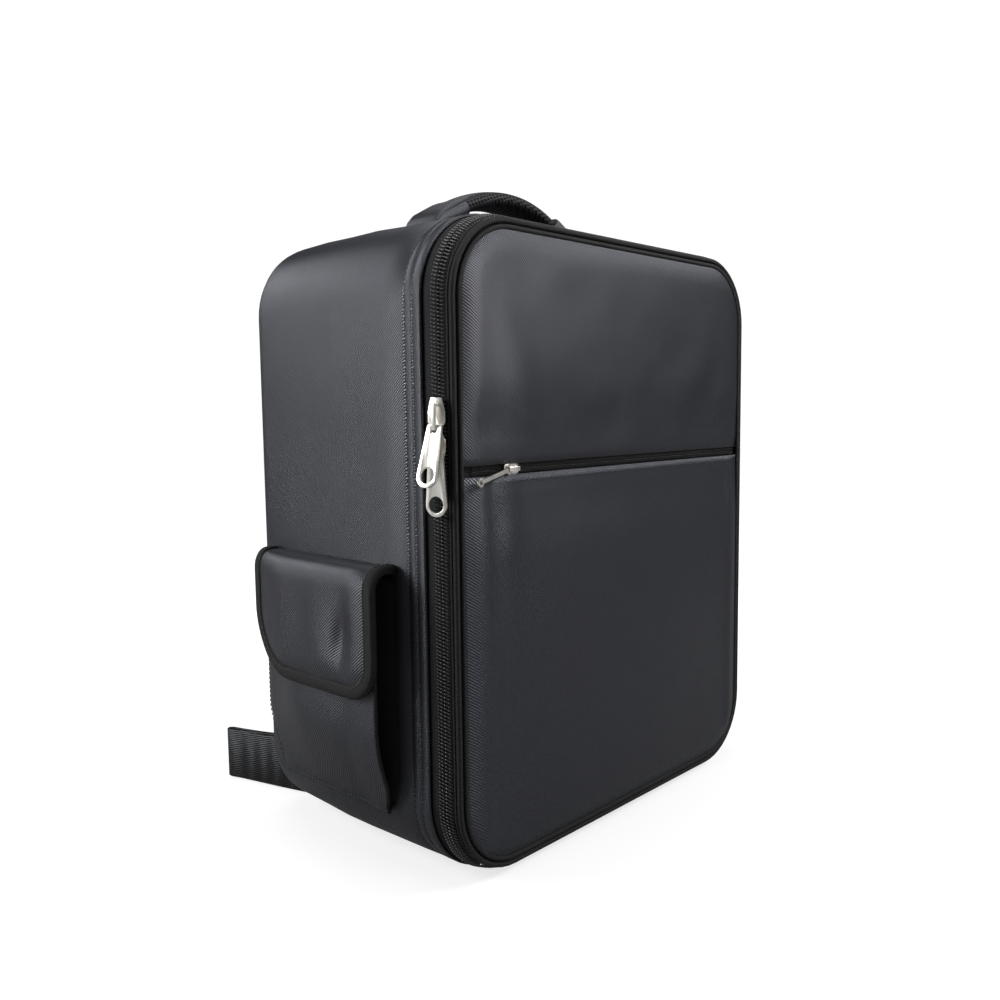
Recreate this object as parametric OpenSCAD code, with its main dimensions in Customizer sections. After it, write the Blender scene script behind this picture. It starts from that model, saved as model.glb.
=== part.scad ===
// Drone backpack: a padded zip-round case that stands upright, opened by a full-height front door.
// Units are millimetres. Z is up and 0 is the floor, X runs along the door, and the door faces -Y.
//
// Sections of the walls are drawn as 2D profiles: x is how far outside the shell's outline a point
// lies, and y is how far forward of the middle of the case it lies. sweep() runs such a profile
// round the outline.

/* [Case] */
// Width of the padded shell from side to side
case_w = 378; // [340:1:420]
// Height of the padded shell above the floor
case_h = 460; // [430:1:500]
// Depth from the face of the door to the back panel
case_d = 224; // [210:1:250]
// Radius of the four corners seen from the front
corner_r = 60; // [52:1:70]
// Radius of the edge between the sides and the back
rear_r = 18; // [14:1:24]
// Thickness of the outer nylon
skin_t = 1.5; // [1:0.1:2]
// Thickness of the foam in the walls
foam_t = 6; // [4:0.5:7]
// Thickness of the inner lining
lining_t = 0.8; // [0.5:0.1:1]

/* [Main zip] */
// How far forward of the middle the shell's hem ends and the zip band starts
zip_edge = 88.7; // [80:0.1:92]
// How much the zip band leans towards the front
zip_tilt = 13; // [8:1:14]
// Width of one row of coil
coil_w = 5; // [4:0.1:5.5]
// Height of the coil above the tape
coil_h = 2.4; // [1.8:0.1:2.6]
// Gap between the two rows, which the sliders' posts run in
coil_gap = 1.2; // [1:0.1:1.5]
// Width of bare tape between the hem and the coil
tape_bare = 6.9; // [6:0.1:7.5]

/* [Main sliders] */
// Height of the upper slider's middle above the floor
upper_slider_z = 325; // [325:1:340]
// Height of the lower slider's middle above the floor
lower_slider_z = 303; // [280:1:303]
// Length of each slider's body
slider_l = 21; // [18:1:21]
// Angle at which the upper pull leans out over the lower slider
upper_lean = 17; // [17:1:20]

/* [Front pocket] */
// Height of the front pocket's zip above the floor
pocket_zip_z = 287; // [260:1:320]
// Where the front slider rests, from the middle of the door
front_slider_x = -131; // [-140:1:-100]

/* [Side pockets] */
// Height of a side pocket's mouth
side_pocket_top = 214; // [190:1:230]
// How far a side pocket stands out from the shell
side_pocket_out = 20; // [16:1:26]
// Length of the flap that hangs over the pocket
flap_drop = 88; // [70:1:100]
// Thickness of the padded flap
flap_t = 4; // [3:0.5:6]

/* [Handle] */
// How far behind the middle the handle stands
handle_y = 20; // [0:1:40]
// Width of the handle strap from front to back
handle_w = 38; // [30:1:44]
// Height of the top of the grip above the shell
handle_rise = 50; // [44:1:56]

/* [Straps] */
// Width of a shoulder pad
pad_w = 62; // [50:1:70]
// Thickness of a shoulder pad
pad_t = 12; // [8:1:15]
// Width of the webbing
webbing_w = 44; // [38:1:46]

/* [Hidden] */
$fn = 64;

// Clearance left between pieces that lie against each other
gap = 0.2;
side_x = case_w / 2;
front_f = case_d / 2;

// Colours
nylon = [0.12, 0.13, 0.16];
black = [0.05, 0.05, 0.06];
foam_grey = [0.25, 0.25, 0.27];
lining_grey = [0.35, 0.36, 0.38];
nickel = [0.80, 0.79, 0.76];
binding_brown = [0.12, 0.10, 0.09];

// Sides and corners of the outline, counted from the right side through the top and the left
ALL_SIDES = [0, 1, 2, 3];
ZIP_SIDES = [0, 1, 2];
BOTTOM_SIDE = [3];
ALL_CORNERS = [0, 1, 2, 3];

// The zip band: depth below the skin, and places across it from the hem forward
band_drop = 1.2;
tape_t = 0.9;
zip_mid = tape_bare + coil_w + coil_gap / 2;
door_coil_s = zip_mid + coil_gap / 2;
strip_start_s = door_coil_s + coil_w + 0.7;
strip_end_s = strip_start_s + 1.4;

// The door's layers, by how far forward of the middle they lie
piping_r = 2.2;
piping_in = 6.8;
panel_in = piping_in + piping_r + gap;
panel_t = 1.5;
door_board_f = 105.4;
door_board_t = 1.5;
door_foam_t = 7.2;
door_inner_in = 19;
front_coil_w = 2.8;
front_coil_h = 1.5;
front_coil_gap = 1.0;
front_tape_f = 110.2;

// The sliders and pulls. A bar's place is measured from its slider's middle, along the chain.
slide_clear = 0.4;
slider_half_w = 6.6;
top_plate_t = 1.9;
main_bar_r = 0.9;
bar_n = coil_h + 2 * slide_clear + top_plate_t + main_bar_r;
upper_bar = -7.5;
lower_bar = -3.5;
front_plate_t = 1.2;
front_bar_r = 0.7;
front_bar_n = front_coil_h + 2 * slide_clear + front_plate_t + front_bar_r;
front_bar = -2;
post_t = 0.5;
bridge_w = 3;
bridge_end = 1.5;
slot_w = 5;
slot_l = 5.2;
slim_slot_w = 4;
slim_slot_l = 4.2;
front_lean = 12;
front_droop = 10;

// How far the foam and the lining stop short of the zip
wall_short = 9;
board_t = 1.5;

// The bottom edge of the door, where it is hinged
hinge_strip_y = -104.6;
hinge_strip_z = 0.4;

// The hem of the zip tape under the shell
hem_l = 8;
hem_tape_t = 0.4;

// Half of the slit between the front panels, and the two tapes behind it
slit_half = 5;
pocket_tape_half = 174;
pocket_tape_w = 9.8;
pocket_tape_t = 0.8;
pocket_tape_off = 5.5;
pocket_coil_half = 168;

// The inside: dividers lie from divider_front back to the lining
divider_t = 10;
inner_d = skin_t + foam_t + lining_t + 3 * gap;
inner_half = side_x - inner_d;
inner_rear_r = rear_r - inner_d;
divider_back = front_f - inner_d;
divider_front = -70;
shelf_z = 152;
remote_divider_x = -10;
battery_divider_x = 85;
drone_strap_y = -72;
drone_strap_z = 290;
drone_strap_w = 38;
drone_strap_t = 1.8;
mesh_in = 31;
mesh_top_z = 250;
mesh_t = 1.5;

// Hook and loop under the flaps, seen from the side
patch_y = -20;
patch_z = 140;
patch_l = 60;
patch_h = 22;
patch_t = 1.2;

// The handle's arc
grip_t = 14;
grip_half = 58;
arc_r = 120;
grip_core_wall = 2;
handle_foot_x = 84;
handle_foot_z = case_h + 1.6;
arc_z = case_h + handle_rise - grip_t / 2 - arc_r;

// The shoulder straps, from the line where they leave the yoke
strap_x = 55;
strap_z = 405;
strap_splay = 9;
pad_l = 250;
back_y = case_d / 2;
back_pad_t = 10;
back_pad_w = 120;
back_pad_x = 85;
back_pad_z = 70;
back_pad_h = 320;
yoke_w = 200;
yoke_t = 3;
yoke_h = 34;

// The webbing's run on the floor behind the corner, as seen from above
loop_near = [-150, 115];
loop_far = [-172, 196];
loop_back = [-146, 140];
webbing_t = 1.8;
tab_x = 164;
tab_w = 26;
tab_t = 1.6;
tab_z = 2;
tab_h = 44;

// Side pocket, seen from the side: y from front to back and heights above the floor
pocket_front_y = -57;
pocket_rear_y = 99;
pocket_bottom_z = 42;
pocket_taper_z = 112;
pocket_wall = 1.6;
flap_front_y = -62;
flap_rear_y = 88;
flap_x = side_x + side_pocket_out + 3.2;
flap_fold_z = side_pocket_top + 3;
binding_w = 9.5;

// ---------------------------------------------------------------- helpers

// Turns the flat outline, drawn in X and Y with z as forward, upright on the floor
module stand_up() {
    translate([0, 0, case_h / 2]) rotate([90, 0, 0]) children();
}

// Half of the outline's size across side i
function reach(i) = (i % 2 == 0 ? case_w : case_h) / 2;

// Runs a wall profile round the given sides and corners of the shell's outline
module sweep(sides, corners) {
    stand_up() {
        for (i = sides) {
            run = 2 * (reach(i + 1) - corner_r);
            rotate([0, 0, 90 * i]) translate([reach(i), run / 2, 0]) rotate([90, 0, 0])
                linear_extrude(run) children();
        }
        for (i = corners)
            rotate([0, 0, 90 * i]) translate([reach(i) - corner_r, reach(i + 1) - corner_r, 0])
                rotate_extrude(angle = 90) translate([corner_r, 0]) children();
    }
}

// The outline drawn smaller by inset, as a flat shape
module outline(inset) {
    w = case_w - 2 * inset;
    h = case_h - 2 * inset;
    r = corner_r - inset;
    square([w - 2 * r, h], center = true);
    square([w, h - 2 * r], center = true);
    for (x = [-1, 1], y = [-1, 1])
        translate([x * (w / 2 - r), y * (h / 2 - r)]) circle(r);
}

// A flat sheet in the shape of the outline, between two depths and two heights
module sheet(inset, back, front, low = 0, high = case_h) {
    stand_up() translate([0, 0, back]) linear_extrude(front - back) intersection() {
        outline(inset);
        translate([-case_w / 2, low - case_h / 2]) square([case_w, high - low]);
    }
}

// Everything deeper than d below the shell's outer surface, as a wall profile
module inside_of(d) {
    far = 40;
    straight = zip_edge + front_f - rear_r;
    translate([-far, -front_f + rear_r]) square([far - d, straight]);
    translate([-far, -front_f + d]) square([far - rear_r, rear_r]);
    translate([-rear_r, -front_f + rear_r]) circle(rear_r - d);
}

// A layer of the shell's wall between two depths, ending at the given distance forward
module wall_profile(outer, inner, front) {
    intersection() {
        difference() {
            inside_of(outer);
            inside_of(inner);
        }
        translate([-rear_r, -front_f]) square([rear_r, front + front_f]);
    }
}

// Puts a profile on the zip band: x becomes height above the tape, y the distance from the hem
module on_band() {
    translate([-band_drop, zip_edge]) rotate(zip_tilt) children();
}

// Places a piece on the chain of the left side: x out of the tape, y forward from its middle
module on_left_chain(z) {
    translate([-side_x, 0, z]) rotate([0, 0, 180]) translate([-band_drop, zip_edge, 0])
        rotate([0, 0, zip_tilt]) translate([0, zip_mid, 0]) children();
}

// Places a piece on the front pocket's chain: x out of the tape and z along the chain to the right
module on_front_chain(x) {
    translate([x, -front_tape_f, pocket_zip_z]) rotate([0, 90, 0]) rotate([0, 0, -90]) children();
}

// Extrudes a shape drawn in Y and Z along X, from x0 to x1
module along_x(x0, x1) {
    translate([x0, 0, 0]) rotate([90, 0, 90]) linear_extrude(x1 - x0) children();
}

// Extrudes a shape drawn in X and Z along Y, from y0 to y1
module along_y(y0, y1) {
    translate([0, y1, 0]) rotate([90, 0, 0]) linear_extrude(y1 - y0) children();
}

// ---------------------------------------------------------------- shell

module gusset_panel() {
    color(nylon) sweep(ZIP_SIDES, ALL_CORNERS) wall_profile(0, skin_t, zip_edge);
}

module base_panel() {
    color(nylon) sweep(BOTTOM_SIDE, []) wall_profile(0, skin_t, zip_edge);
}

module back_panel() {
    color(nylon) sheet(rear_r + gap, -front_f, -front_f + skin_t);
}

module gusset_foam() {
    color(foam_grey) sweep(ALL_SIDES, ALL_CORNERS)
        wall_profile(skin_t + gap, skin_t + gap + foam_t, zip_edge - wall_short);
}

module back_board() {
    start = -front_f + skin_t + gap;
    color(black) sheet(rear_r + gap, start, start + board_t);
}

module back_foam() {
    start = -front_f + skin_t + board_t + 2 * gap;
    color(foam_grey) sheet(rear_r + gap, start, -front_f + skin_t + foam_t + gap);
}

module lining() {
    depth = skin_t + foam_t + 2 * gap;
    color(lining_grey) {
        sweep(ALL_SIDES, ALL_CORNERS) wall_profile(depth, depth + lining_t, zip_edge - wall_short);
        sheet(rear_r, -front_f + depth, -front_f + depth + lining_t);
    }
}

// ---------------------------------------------------------------- main zip

module case_zip_tape() {
    color(black) sweep(ZIP_SIDES, ALL_CORNERS) {
        on_band() translate([-tape_t, 0.3]) square([tape_t, zip_mid - coil_gap / 2 - 0.3]);
        translate([-band_drop - tape_t, zip_edge - hem_l]) square([hem_tape_t, hem_l + 1]);
    }
}

module case_zip_coil() {
    color(black) sweep(ZIP_SIDES, ALL_CORNERS)
        on_band() translate([0, tape_bare]) square([coil_h, coil_w]);
}

module door_zip_tape() {
    color(black) sweep(ZIP_SIDES, ALL_CORNERS)
        on_band() translate([-tape_t, door_coil_s]) square([tape_t, strip_end_s - door_coil_s]);
}

module door_zip_coil() {
    color(black) sweep(ZIP_SIDES, ALL_CORNERS)
        on_band() translate([0, door_coil_s]) square([coil_h, coil_w]);
}

module door_hinge_strip() {
    half = reach(0) - corner_r - gap;
    color(nylon) translate([-half, hinge_strip_y, hinge_strip_z])
        cube([2 * half, -hinge_strip_y - zip_edge - gap, skin_t]);
}

// ---------------------------------------------------------------- door

module door_edge_strip() {
    color(nylon) sweep(ZIP_SIDES, ALL_CORNERS)
        on_band() translate([0.1, strip_start_s]) square([1.1, strip_end_s - strip_start_s]);
}

module door_piping() {
    color(black) sweep(ALL_SIDES, ALL_CORNERS)
        translate([-piping_in, front_f - 1.4]) circle(piping_r);
}

module door_upper_panel() {
    color(nylon) sheet(panel_in, front_f - panel_t, front_f, pocket_zip_z + slit_half, case_h);
}

module door_pocket_panel() {
    bulge = 1;
    color(nylon) sheet(panel_in, front_f - panel_t, front_f + bulge, 0, pocket_zip_z - slit_half);
}

module door_board() {
    color(black) sheet(door_inner_in - 5, door_board_f, door_board_f + door_board_t);
}

module door_foam() {
    color(foam_grey) sheet(door_inner_in, door_board_f - gap - door_foam_t, door_board_f - gap);
}

module door_lining() {
    front = door_board_f - 2 * gap - door_foam_t;
    color(lining_grey) sheet(door_inner_in, front - lining_t, front);
}

module door_mesh_pocket() {
    front = door_board_f - 3 * gap - door_foam_t - lining_t;
    color(black) sheet(mesh_in, front - mesh_t, front, 0, mesh_top_z);
}

module pocket_zip_tape() {
    color(black) for (side = [-1, 1])
        translate([-pocket_tape_half, -front_tape_f,
                   pocket_zip_z + side * pocket_tape_off - pocket_tape_w / 2])
            cube([2 * pocket_tape_half, pocket_tape_t, pocket_tape_w]);
}

module pocket_zip_coil() {
    color(black) for (side = [-1, 1])
        translate([-pocket_coil_half, -front_tape_f - front_coil_h,
                   pocket_zip_z + side * (front_coil_gap + front_coil_w) / 2 - front_coil_w / 2])
            cube([2 * pocket_coil_half, front_coil_h, front_coil_w]);
}

// ---------------------------------------------------------------- sliders and pulls

// Seen from outside: a narrow tail, up where tail is 1 and down where it is -1, and full shoulders
module slider_outline(half_w, length, tail) {
    side = [[0.62 * half_w, length / 2], [half_w, 0.05 * length], [half_w, -0.25 * length],
            [0.5 * half_w, -length / 2]];
    polygon([for (p = side) [p[0], tail * p[1]], for (i = [3:-1:0]) [-side[i][0], tail * side[i][1]]]);
}

// A slider on a chain. The bridge holds the pull's bar at height bar above the body's middle.
// slope lifts the top plate's underside on the forward side, so that the coil can leave there.
module slider(half_w, length, coil, tape, plate, coil_split, bar, bar_r, bridge_up, slope, tail) {
    under = coil + slide_clear;
    top = under + plate;
    under_plate_t = 1;
    under_plate = -tape - slide_clear;
    rail_t = 0.9;
    rail_low = 0.5;
    crown = 1.1;
    window = 2 * (bar_r + slide_clear);
    foot = bar - bar_r - 0.5;
    head = bar + bridge_up;
    difference() {
        along_x(under, top) slider_outline(half_w, length, tail);
        translate([0, 0, -length]) linear_extrude(2 * length)
            polygon([[under - 1, coil_split / 2], [under, coil_split / 2],
                     [under + slope * (half_w + 1 - coil_split / 2), half_w + 1],
                     [under - 1, half_w + 1]]);
    }
    along_x(under_plate - under_plate_t, under_plate) slider_outline(half_w, length, tail);
    translate([under_plate - under_plate_t / 2, -post_t / 2, -length / 4])
        cube([under - under_plate + under_plate_t, post_t, length / 2]);
    translate([rail_low, -half_w, -length * (tail + 3) / 16]) cube([top - rail_low, rail_t, length / 4]);
    difference() {
        translate([top - crown / 2, -bridge_w / 2, foot - bridge_end])
            cube([window + 1.5 * crown, bridge_w, head - foot + 2 * bridge_end]);
        translate([top, -bridge_w, foot]) cube([window, 2 * bridge_w, head - foot]);
    }
}

// A pull hanging from the bar at its top end
module pull(length, end_r, top_w, hole_r, thick, bar_r) {
    top_edge = 0.4;
    drop = length - end_r;
    difference() {
        along_x(-thick / 2, thick / 2) {
            polygon([[-top_w / 2, top_edge], [top_w / 2, top_edge], [end_r, -drop], [-end_r, -drop]]);
            translate([0, -drop]) circle(end_r);
        }
        translate([-thick, 0, -drop]) rotate([0, 90, 0]) cylinder(h = 2 * thick, r = hole_r);
        translate([-thick, -slot_w / 2, -slot_l]) cube([2 * thick, slot_w, slot_l + 1]);
    }
    translate([0, top_w / 2, 0]) rotate([90, 0, 0]) cylinder(h = top_w, r = bar_r);
}

// A slider on the main chain
module main_slider(bar, bridge_up, tail) {
    color(nickel) slider(slider_half_w, slider_l, coil_h, tape_t, top_plate_t, coil_gap, bar, main_bar_r,
                         bridge_up, tan(zip_tilt), tail);
}

module upper_slider() {
    on_left_chain(upper_slider_z) main_slider(upper_bar, bridge_up = 13, tail = 1);
}

module lower_slider() {
    on_left_chain(lower_slider_z) main_slider(lower_bar, bridge_up = 4.2, tail = -1);
}

module main_pull(lean) {
    rotate([0, -lean, 0])
        pull(length = 41, end_r = 8, top_w = 11, hole_r = 5.5, thick = 1.6, bar_r = main_bar_r);
}

module upper_pull() {
    color(nickel) on_left_chain(upper_slider_z + upper_bar) translate([bar_n, 0, 0])
        main_pull(upper_lean);
}

module lower_pull() {
    color(nickel) on_left_chain(lower_slider_z + lower_bar) translate([bar_n, 0, 0]) main_pull(0);
}

module front_slider() {
    color(nickel) on_front_chain(front_slider_x)
        slider(half_w = 4.8, length = 14, coil = front_coil_h, tape = pocket_tape_t,
               plate = front_plate_t, coil_split = front_coil_gap, bar = front_bar,
               bar_r = front_bar_r, bridge_up = 6, slope = 0, tail = 1);
}

// A slim pull: a rod with an eye round its bar at the top and a small ring at the end
module slim_pull(length, rod_w, eye_w, end_r, hole_r, thick, bar_r) {
    top_edge = 0.4;
    drop = length - end_r;
    difference() {
        along_x(-thick / 2, thick / 2) {
            polygon([[-eye_w / 2, top_edge], [eye_w / 2, top_edge], [eye_w / 2, -slim_slot_l],
                     [rod_w / 2, -slim_slot_l - 2.5], [rod_w / 2, -drop], [-rod_w / 2, -drop],
                     [-rod_w / 2, -slim_slot_l - 2.5], [-eye_w / 2, -slim_slot_l]]);
            translate([0, -drop]) circle(end_r);
        }
        translate([-thick, 0, -drop]) rotate([0, 90, 0]) cylinder(h = 2 * thick, r = hole_r);
        translate([-thick, -slim_slot_w / 2, -slim_slot_l]) cube([2 * thick, slim_slot_w, slim_slot_l + 1]);
    }
    translate([0, eye_w / 2, 0]) rotate([90, 0, 0]) cylinder(h = eye_w, r = bar_r);
}

// It hangs a little out from the door, and its far end droops
module front_pull() {
    color(nickel) on_front_chain(front_slider_x + front_bar) translate([front_bar_n, 0, 0])
        rotate([front_droop, 0, 0]) rotate([0, -front_lean, 0])
            slim_pull(length = 42, rod_w = 2.6, eye_w = 6.4, end_r = 3, hole_r = 1.5, thick = 1.4,
                      bar_r = front_bar_r);
}

// ---------------------------------------------------------------- inside

// Its rear corners follow the rounded lining
module shelf_divider() {
    depth = divider_back - divider_front;
    straight = inner_half - inner_rear_r;
    color(foam_grey) translate([0, 0, shelf_z]) linear_extrude(divider_t) {
        translate([-inner_half, divider_front]) square([2 * inner_half, depth - inner_rear_r]);
        translate([-straight, divider_front]) square([2 * straight, depth]);
        for (side = [-1, 1])
            translate([side * straight, divider_back - inner_rear_r]) circle(inner_rear_r);
    }
}

// An upright divider between the base and the shelf
module upright_divider(x) {
    depth = divider_back - divider_front;
    height = shelf_z - gap - inner_d;
    color(foam_grey) along_x(x, x + divider_t) {
        translate([divider_front, inner_d]) square([depth - inner_rear_r, height]);
        translate([divider_front, inner_d + inner_rear_r]) square([depth, height - inner_rear_r]);
        translate([divider_back - inner_rear_r, inner_d + inner_rear_r]) circle(inner_rear_r);
    }
}

module remote_divider() {
    upright_divider(remote_divider_x);
}

module battery_divider() {
    upright_divider(battery_divider_x);
}

module drone_strap() {
    color(black) translate([-inner_half, drone_strap_y, drone_strap_z])
        cube([2 * inner_half, drone_strap_t, drone_strap_w]);
}

// ---------------------------------------------------------------- side pockets and flaps

// The body of a side pocket, smaller by inset on each face but the top
module pocket_body(inset) {
    out = side_x + side_pocket_out - inset;
    low = pocket_bottom_z + 2 * inset;
    intersection() {
        along_y(pocket_front_y + inset, pocket_rear_y - inset)
            polygon([[-side_x - gap, side_pocket_top], [-out, side_pocket_top], [-out, pocket_taper_z],
                     [-side_x - gap - 1.5, low], [-side_x - gap, low]]);
        along_x(-side_x - 60, -side_x)
            polygon([[pocket_front_y + inset, side_pocket_top], [pocket_front_y + inset, 66],
                     [pocket_front_y + 10 + inset, low], [pocket_rear_y - 18 - inset, low],
                     [pocket_rear_y - 8 - inset, 68], [pocket_rear_y - inset, 96],
                     [pocket_rear_y - inset, side_pocket_top]]);
    }
}

module side_pocket() {
    color(nylon) difference() {
        pocket_body(0);
        translate([0.5, 0, 1]) pocket_body(pocket_wall);
    }
}

module left_pocket() {
    side_pocket();
}

module right_pocket() {
    mirror([1, 0, 0]) side_pocket();
}

module pocket_loop_patches() {
    face = side_x + side_pocket_out + gap;
    color(black) for (side = [0, 1]) mirror([side, 0, 0])
        along_x(-face - patch_t, -face) translate([patch_y, patch_z]) square([patch_l, patch_h]);
}

// The hanging part of a flap, seen from the side, smaller by inset
module flap_outline(inset) {
    front = flap_front_y + inset;
    rear = flap_rear_y - inset;
    low = flap_fold_z - flap_drop + inset;
    high = flap_fold_z - gap;
    front_r = 28 - inset;
    tail_r = 50 - inset;
    intersection() {
        translate([front, low]) square([rear - front, high - low]);
        union() {
            translate([front + front_r, low]) square([rear - front - front_r - tail_r, tail_r]);
            translate([front, low + front_r]) square([front_r, tail_r - front_r]);
            translate([front, low + tail_r]) square([rear - front, high - low - tail_r]);
            translate([front + front_r, low + front_r]) circle(front_r);
            translate([rear - tail_r, low + tail_r]) circle(tail_r);
        }
    }
}

module side_flap() {
    color(nylon) along_x(-flap_x - flap_t, -flap_x) flap_outline(binding_w + gap);
}

module side_flap_binding() {
    proud = 0.3;
    color(binding_brown) along_x(-flap_x - flap_t - proud, -flap_x + proud) difference() {
        flap_outline(0);
        translate([0, binding_w]) flap_outline(binding_w);
        flap_outline(binding_w);
    }
}

// The strip that reaches from the shell out to the fold above the pocket. It starts a little
// way out, where it has room to turn up against the shell.
module side_flap_top() {
    start = side_x + flap_t / 2 + 1;
    color(nylon) translate([-flap_x + 2 * gap, flap_front_y, flap_fold_z + gap])
        cube([flap_x - 2 * gap - start, flap_rear_y - flap_front_y, flap_t]);
}

module side_flap_hook() {
    color(black) along_x(-flap_x + gap, -flap_x + gap + patch_t)
        translate([patch_y, patch_z]) square([patch_l, patch_h]);
}

module left_flap_top() { side_flap_top(); }
module left_flap() { side_flap(); }
module left_flap_binding() { side_flap_binding(); }
module left_flap_hook() { side_flap_hook(); }
module right_flap_top() { mirror([1, 0, 0]) side_flap_top(); }
module right_flap() { mirror([1, 0, 0]) side_flap(); }
module right_flap_binding() { mirror([1, 0, 0]) side_flap_binding(); }
module right_flap_hook() { mirror([1, 0, 0]) side_flap_hook(); }

// ---------------------------------------------------------------- handle

// A flat oval section of the grip, with its long side from front to back
module grip_section(inset) {
    r = grip_t / 2 - inset;
    flat = handle_w - grip_t;
    translate([-r, -flat / 2]) square([2 * r, flat]);
    for (side = [-1, 1]) translate([0, side * flat / 2]) circle(r);
}

// Runs a section along the grip's arc over the top of the case
module grip_arc() {
    half_angle = asin(grip_half / arc_r);
    translate([0, handle_y, arc_z]) rotate([90, 0, 0]) rotate([0, 0, 90 - half_angle])
        rotate_extrude(angle = 2 * half_angle) translate([arc_r, 0]) children();
}

module handle_grip() {
    color(black) grip_arc() difference() {
        grip_section(0);
        grip_section(grip_core_wall);
    }
}

module handle_core() {
    color(foam_grey) grip_arc() grip_section(grip_core_wall + gap);
}

// Each sleeve rises from its foot and turns over into the grip. Its foot is drawn to a point
// from front to back, which leaves room for the handle to lean.
module handle_sleeves() {
    t = 5;
    top_z = arc_z + sqrt(arc_r * arc_r - grip_half * grip_half);
    foot_x = handle_foot_x;
    foot_z = handle_foot_z;
    color(nylon) for (side = [-1, 1]) intersection() {
        along_y(handle_y - handle_w / 2, handle_y + handle_w / 2)
            polygon([[side * foot_x, foot_z], [side * (foot_x + 5), foot_z + 8],
                     [side * (foot_x + 2), foot_z + 24], [side * (foot_x - 8), top_z + 5],
                     [side * (grip_half + 4), top_z + 5], [side * (grip_half + 2), top_z - 4],
                     [side * (foot_x - 12), top_z - 4], [side * (foot_x - 5), foot_z + 18],
                     [side * (foot_x - 2), foot_z + 8], [side * (foot_x - t), foot_z]]);
        along_x(-side_x, side_x)
            polygon([[handle_y - 1, handle_foot_z], [handle_y + 1, handle_foot_z],
                     [handle_y + handle_w / 2, handle_foot_z + 18],
                     [handle_y + handle_w / 2, handle_foot_z + 60],
                     [handle_y - handle_w / 2, handle_foot_z + 60],
                     [handle_y - handle_w / 2, handle_foot_z + 18]]);
    }
}

module handle_patches() {
    color(black) for (side = [-1, 1])
        translate([side * handle_foot_x - 22, handle_y - handle_w / 2, case_h + 0.1])
            cube([38, handle_w, 0.4]);
}

// ---------------------------------------------------------------- back and shoulder straps

module back_pads() {
    color(black) for (side = [-1, 1])
        translate([side * back_pad_x - back_pad_w / 2, back_y + gap, back_pad_z])
            cube([back_pad_w, back_pad_t, back_pad_h]);
}

module strap_yoke() {
    color(nylon) translate([-yoke_w / 2, back_y + gap, strap_z]) cube([yoke_w, yoke_t, yoke_h]);
}

// Seen from the side: the strap leaves the yoke, turns down and runs past the back pads. Its top
// edge stays under the line that it swings about.
module left_strap_pad() {
    inner = back_y + back_pad_t + 2;
    color(nylon) translate([-strap_x, 0, strap_z]) rotate([0, strap_splay, 0])
        along_x(-pad_w / 2, pad_w / 2)
            polygon([[back_y + 3.6, -5.4], [back_y + 6, -5], [inner + pad_t - 2, -18], [inner + pad_t, -40],
                     [inner + pad_t, -pad_l + 12], [inner + pad_t - 4, -pad_l], [inner + 2, -pad_l],
                     [inner, -pad_l + 8], [inner, -20], [inner - 1, -10]]);
}

module left_ladder_lock() {
    w = webbing_w + 8;
    h = 26;
    t = 4;
    y = back_y + back_pad_t + 4;
    color(black) translate([-strap_x, y, strap_z]) rotate([0, strap_splay, 0])
        translate([-w / 2, 0, -pad_l - gap - h]) difference() {
            cube([w, t, h]);
            for (z = [4, 11, 18]) translate([4, -1, z]) cube([w - 8, t + 2, 4]);
        }
}

// One straight run of the webbing, standing on its edge
module webbing_run(from, to, low_z, high_z) {
    hull() {
        translate([from[0], from[1], low_z]) cylinder(h = high_z - low_z, d = webbing_t, $fn = 16);
        translate([to[0], to[1], low_z]) cylinder(h = high_z - low_z, d = webbing_t, $fn = 16);
    }
}

module left_webbing() {
    low = 0.2;
    lock_z = strap_z - (pad_l + 28) * cos(strap_splay);
    lock_x = -strap_x - (pad_l + 28) * sin(strap_splay);
    lock_y = back_y + back_pad_t + 6;
    color(black) {
        webbing_run(loop_near, loop_far, low, low + webbing_w);
        webbing_run(loop_far, loop_back, low, low + webbing_w);
        hull() {
            translate([loop_back[0], loop_back[1], low]) cylinder(h = webbing_w, d = webbing_t, $fn = 16);
            translate([lock_x - webbing_w / 2, lock_y, lock_z - 5]) cube([webbing_w, webbing_t, 2]);
        }
    }
}

module right_strap_pad() { mirror([1, 0, 0]) left_strap_pad(); }
module right_ladder_lock() { mirror([1, 0, 0]) left_ladder_lock(); }
module right_webbing() { mirror([1, 0, 0]) left_webbing(); }

module bottom_tabs() {
    color(nylon) for (side = [-1, 1]) mirror([side < 0 ? 0 : 1, 0, 0])
        translate([-tab_x, back_y + gap, tab_z]) cube([tab_w, tab_t, tab_h]);
}

// ---------------------------------------------------------------- nodes

gusset_panel();
base_panel();
back_panel();
gusset_foam();
back_board();
back_foam();
lining();
case_zip_tape();
case_zip_coil();
door_hinge_strip();
shelf_divider();
remote_divider();
battery_divider();
drone_strap();
back_pads();
strap_yoke();
bottom_tabs();
handle_patches();
left_pocket();
right_pocket();
pocket_loop_patches();
door_upper_panel();
door_pocket_panel();
door_edge_strip();
door_piping();
door_board();
door_foam();
door_lining();
door_mesh_pocket();
door_zip_tape();
door_zip_coil();
pocket_zip_tape();
pocket_zip_coil();
upper_slider();
upper_pull();
lower_slider();
lower_pull();
front_slider();
front_pull();
left_flap_top();
left_flap();
left_flap_binding();
left_flap_hook();
right_flap_top();
right_flap();
right_flap_binding();
right_flap_hook();
handle_sleeves();
handle_grip();
handle_core();
left_strap_pad();
left_ladder_lock();
left_webbing();
right_strap_pad();
right_ladder_lock();
right_webbing();
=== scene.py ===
import math
import bmesh
import bpy
from mathutils import Matrix, Vector, noise


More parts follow.
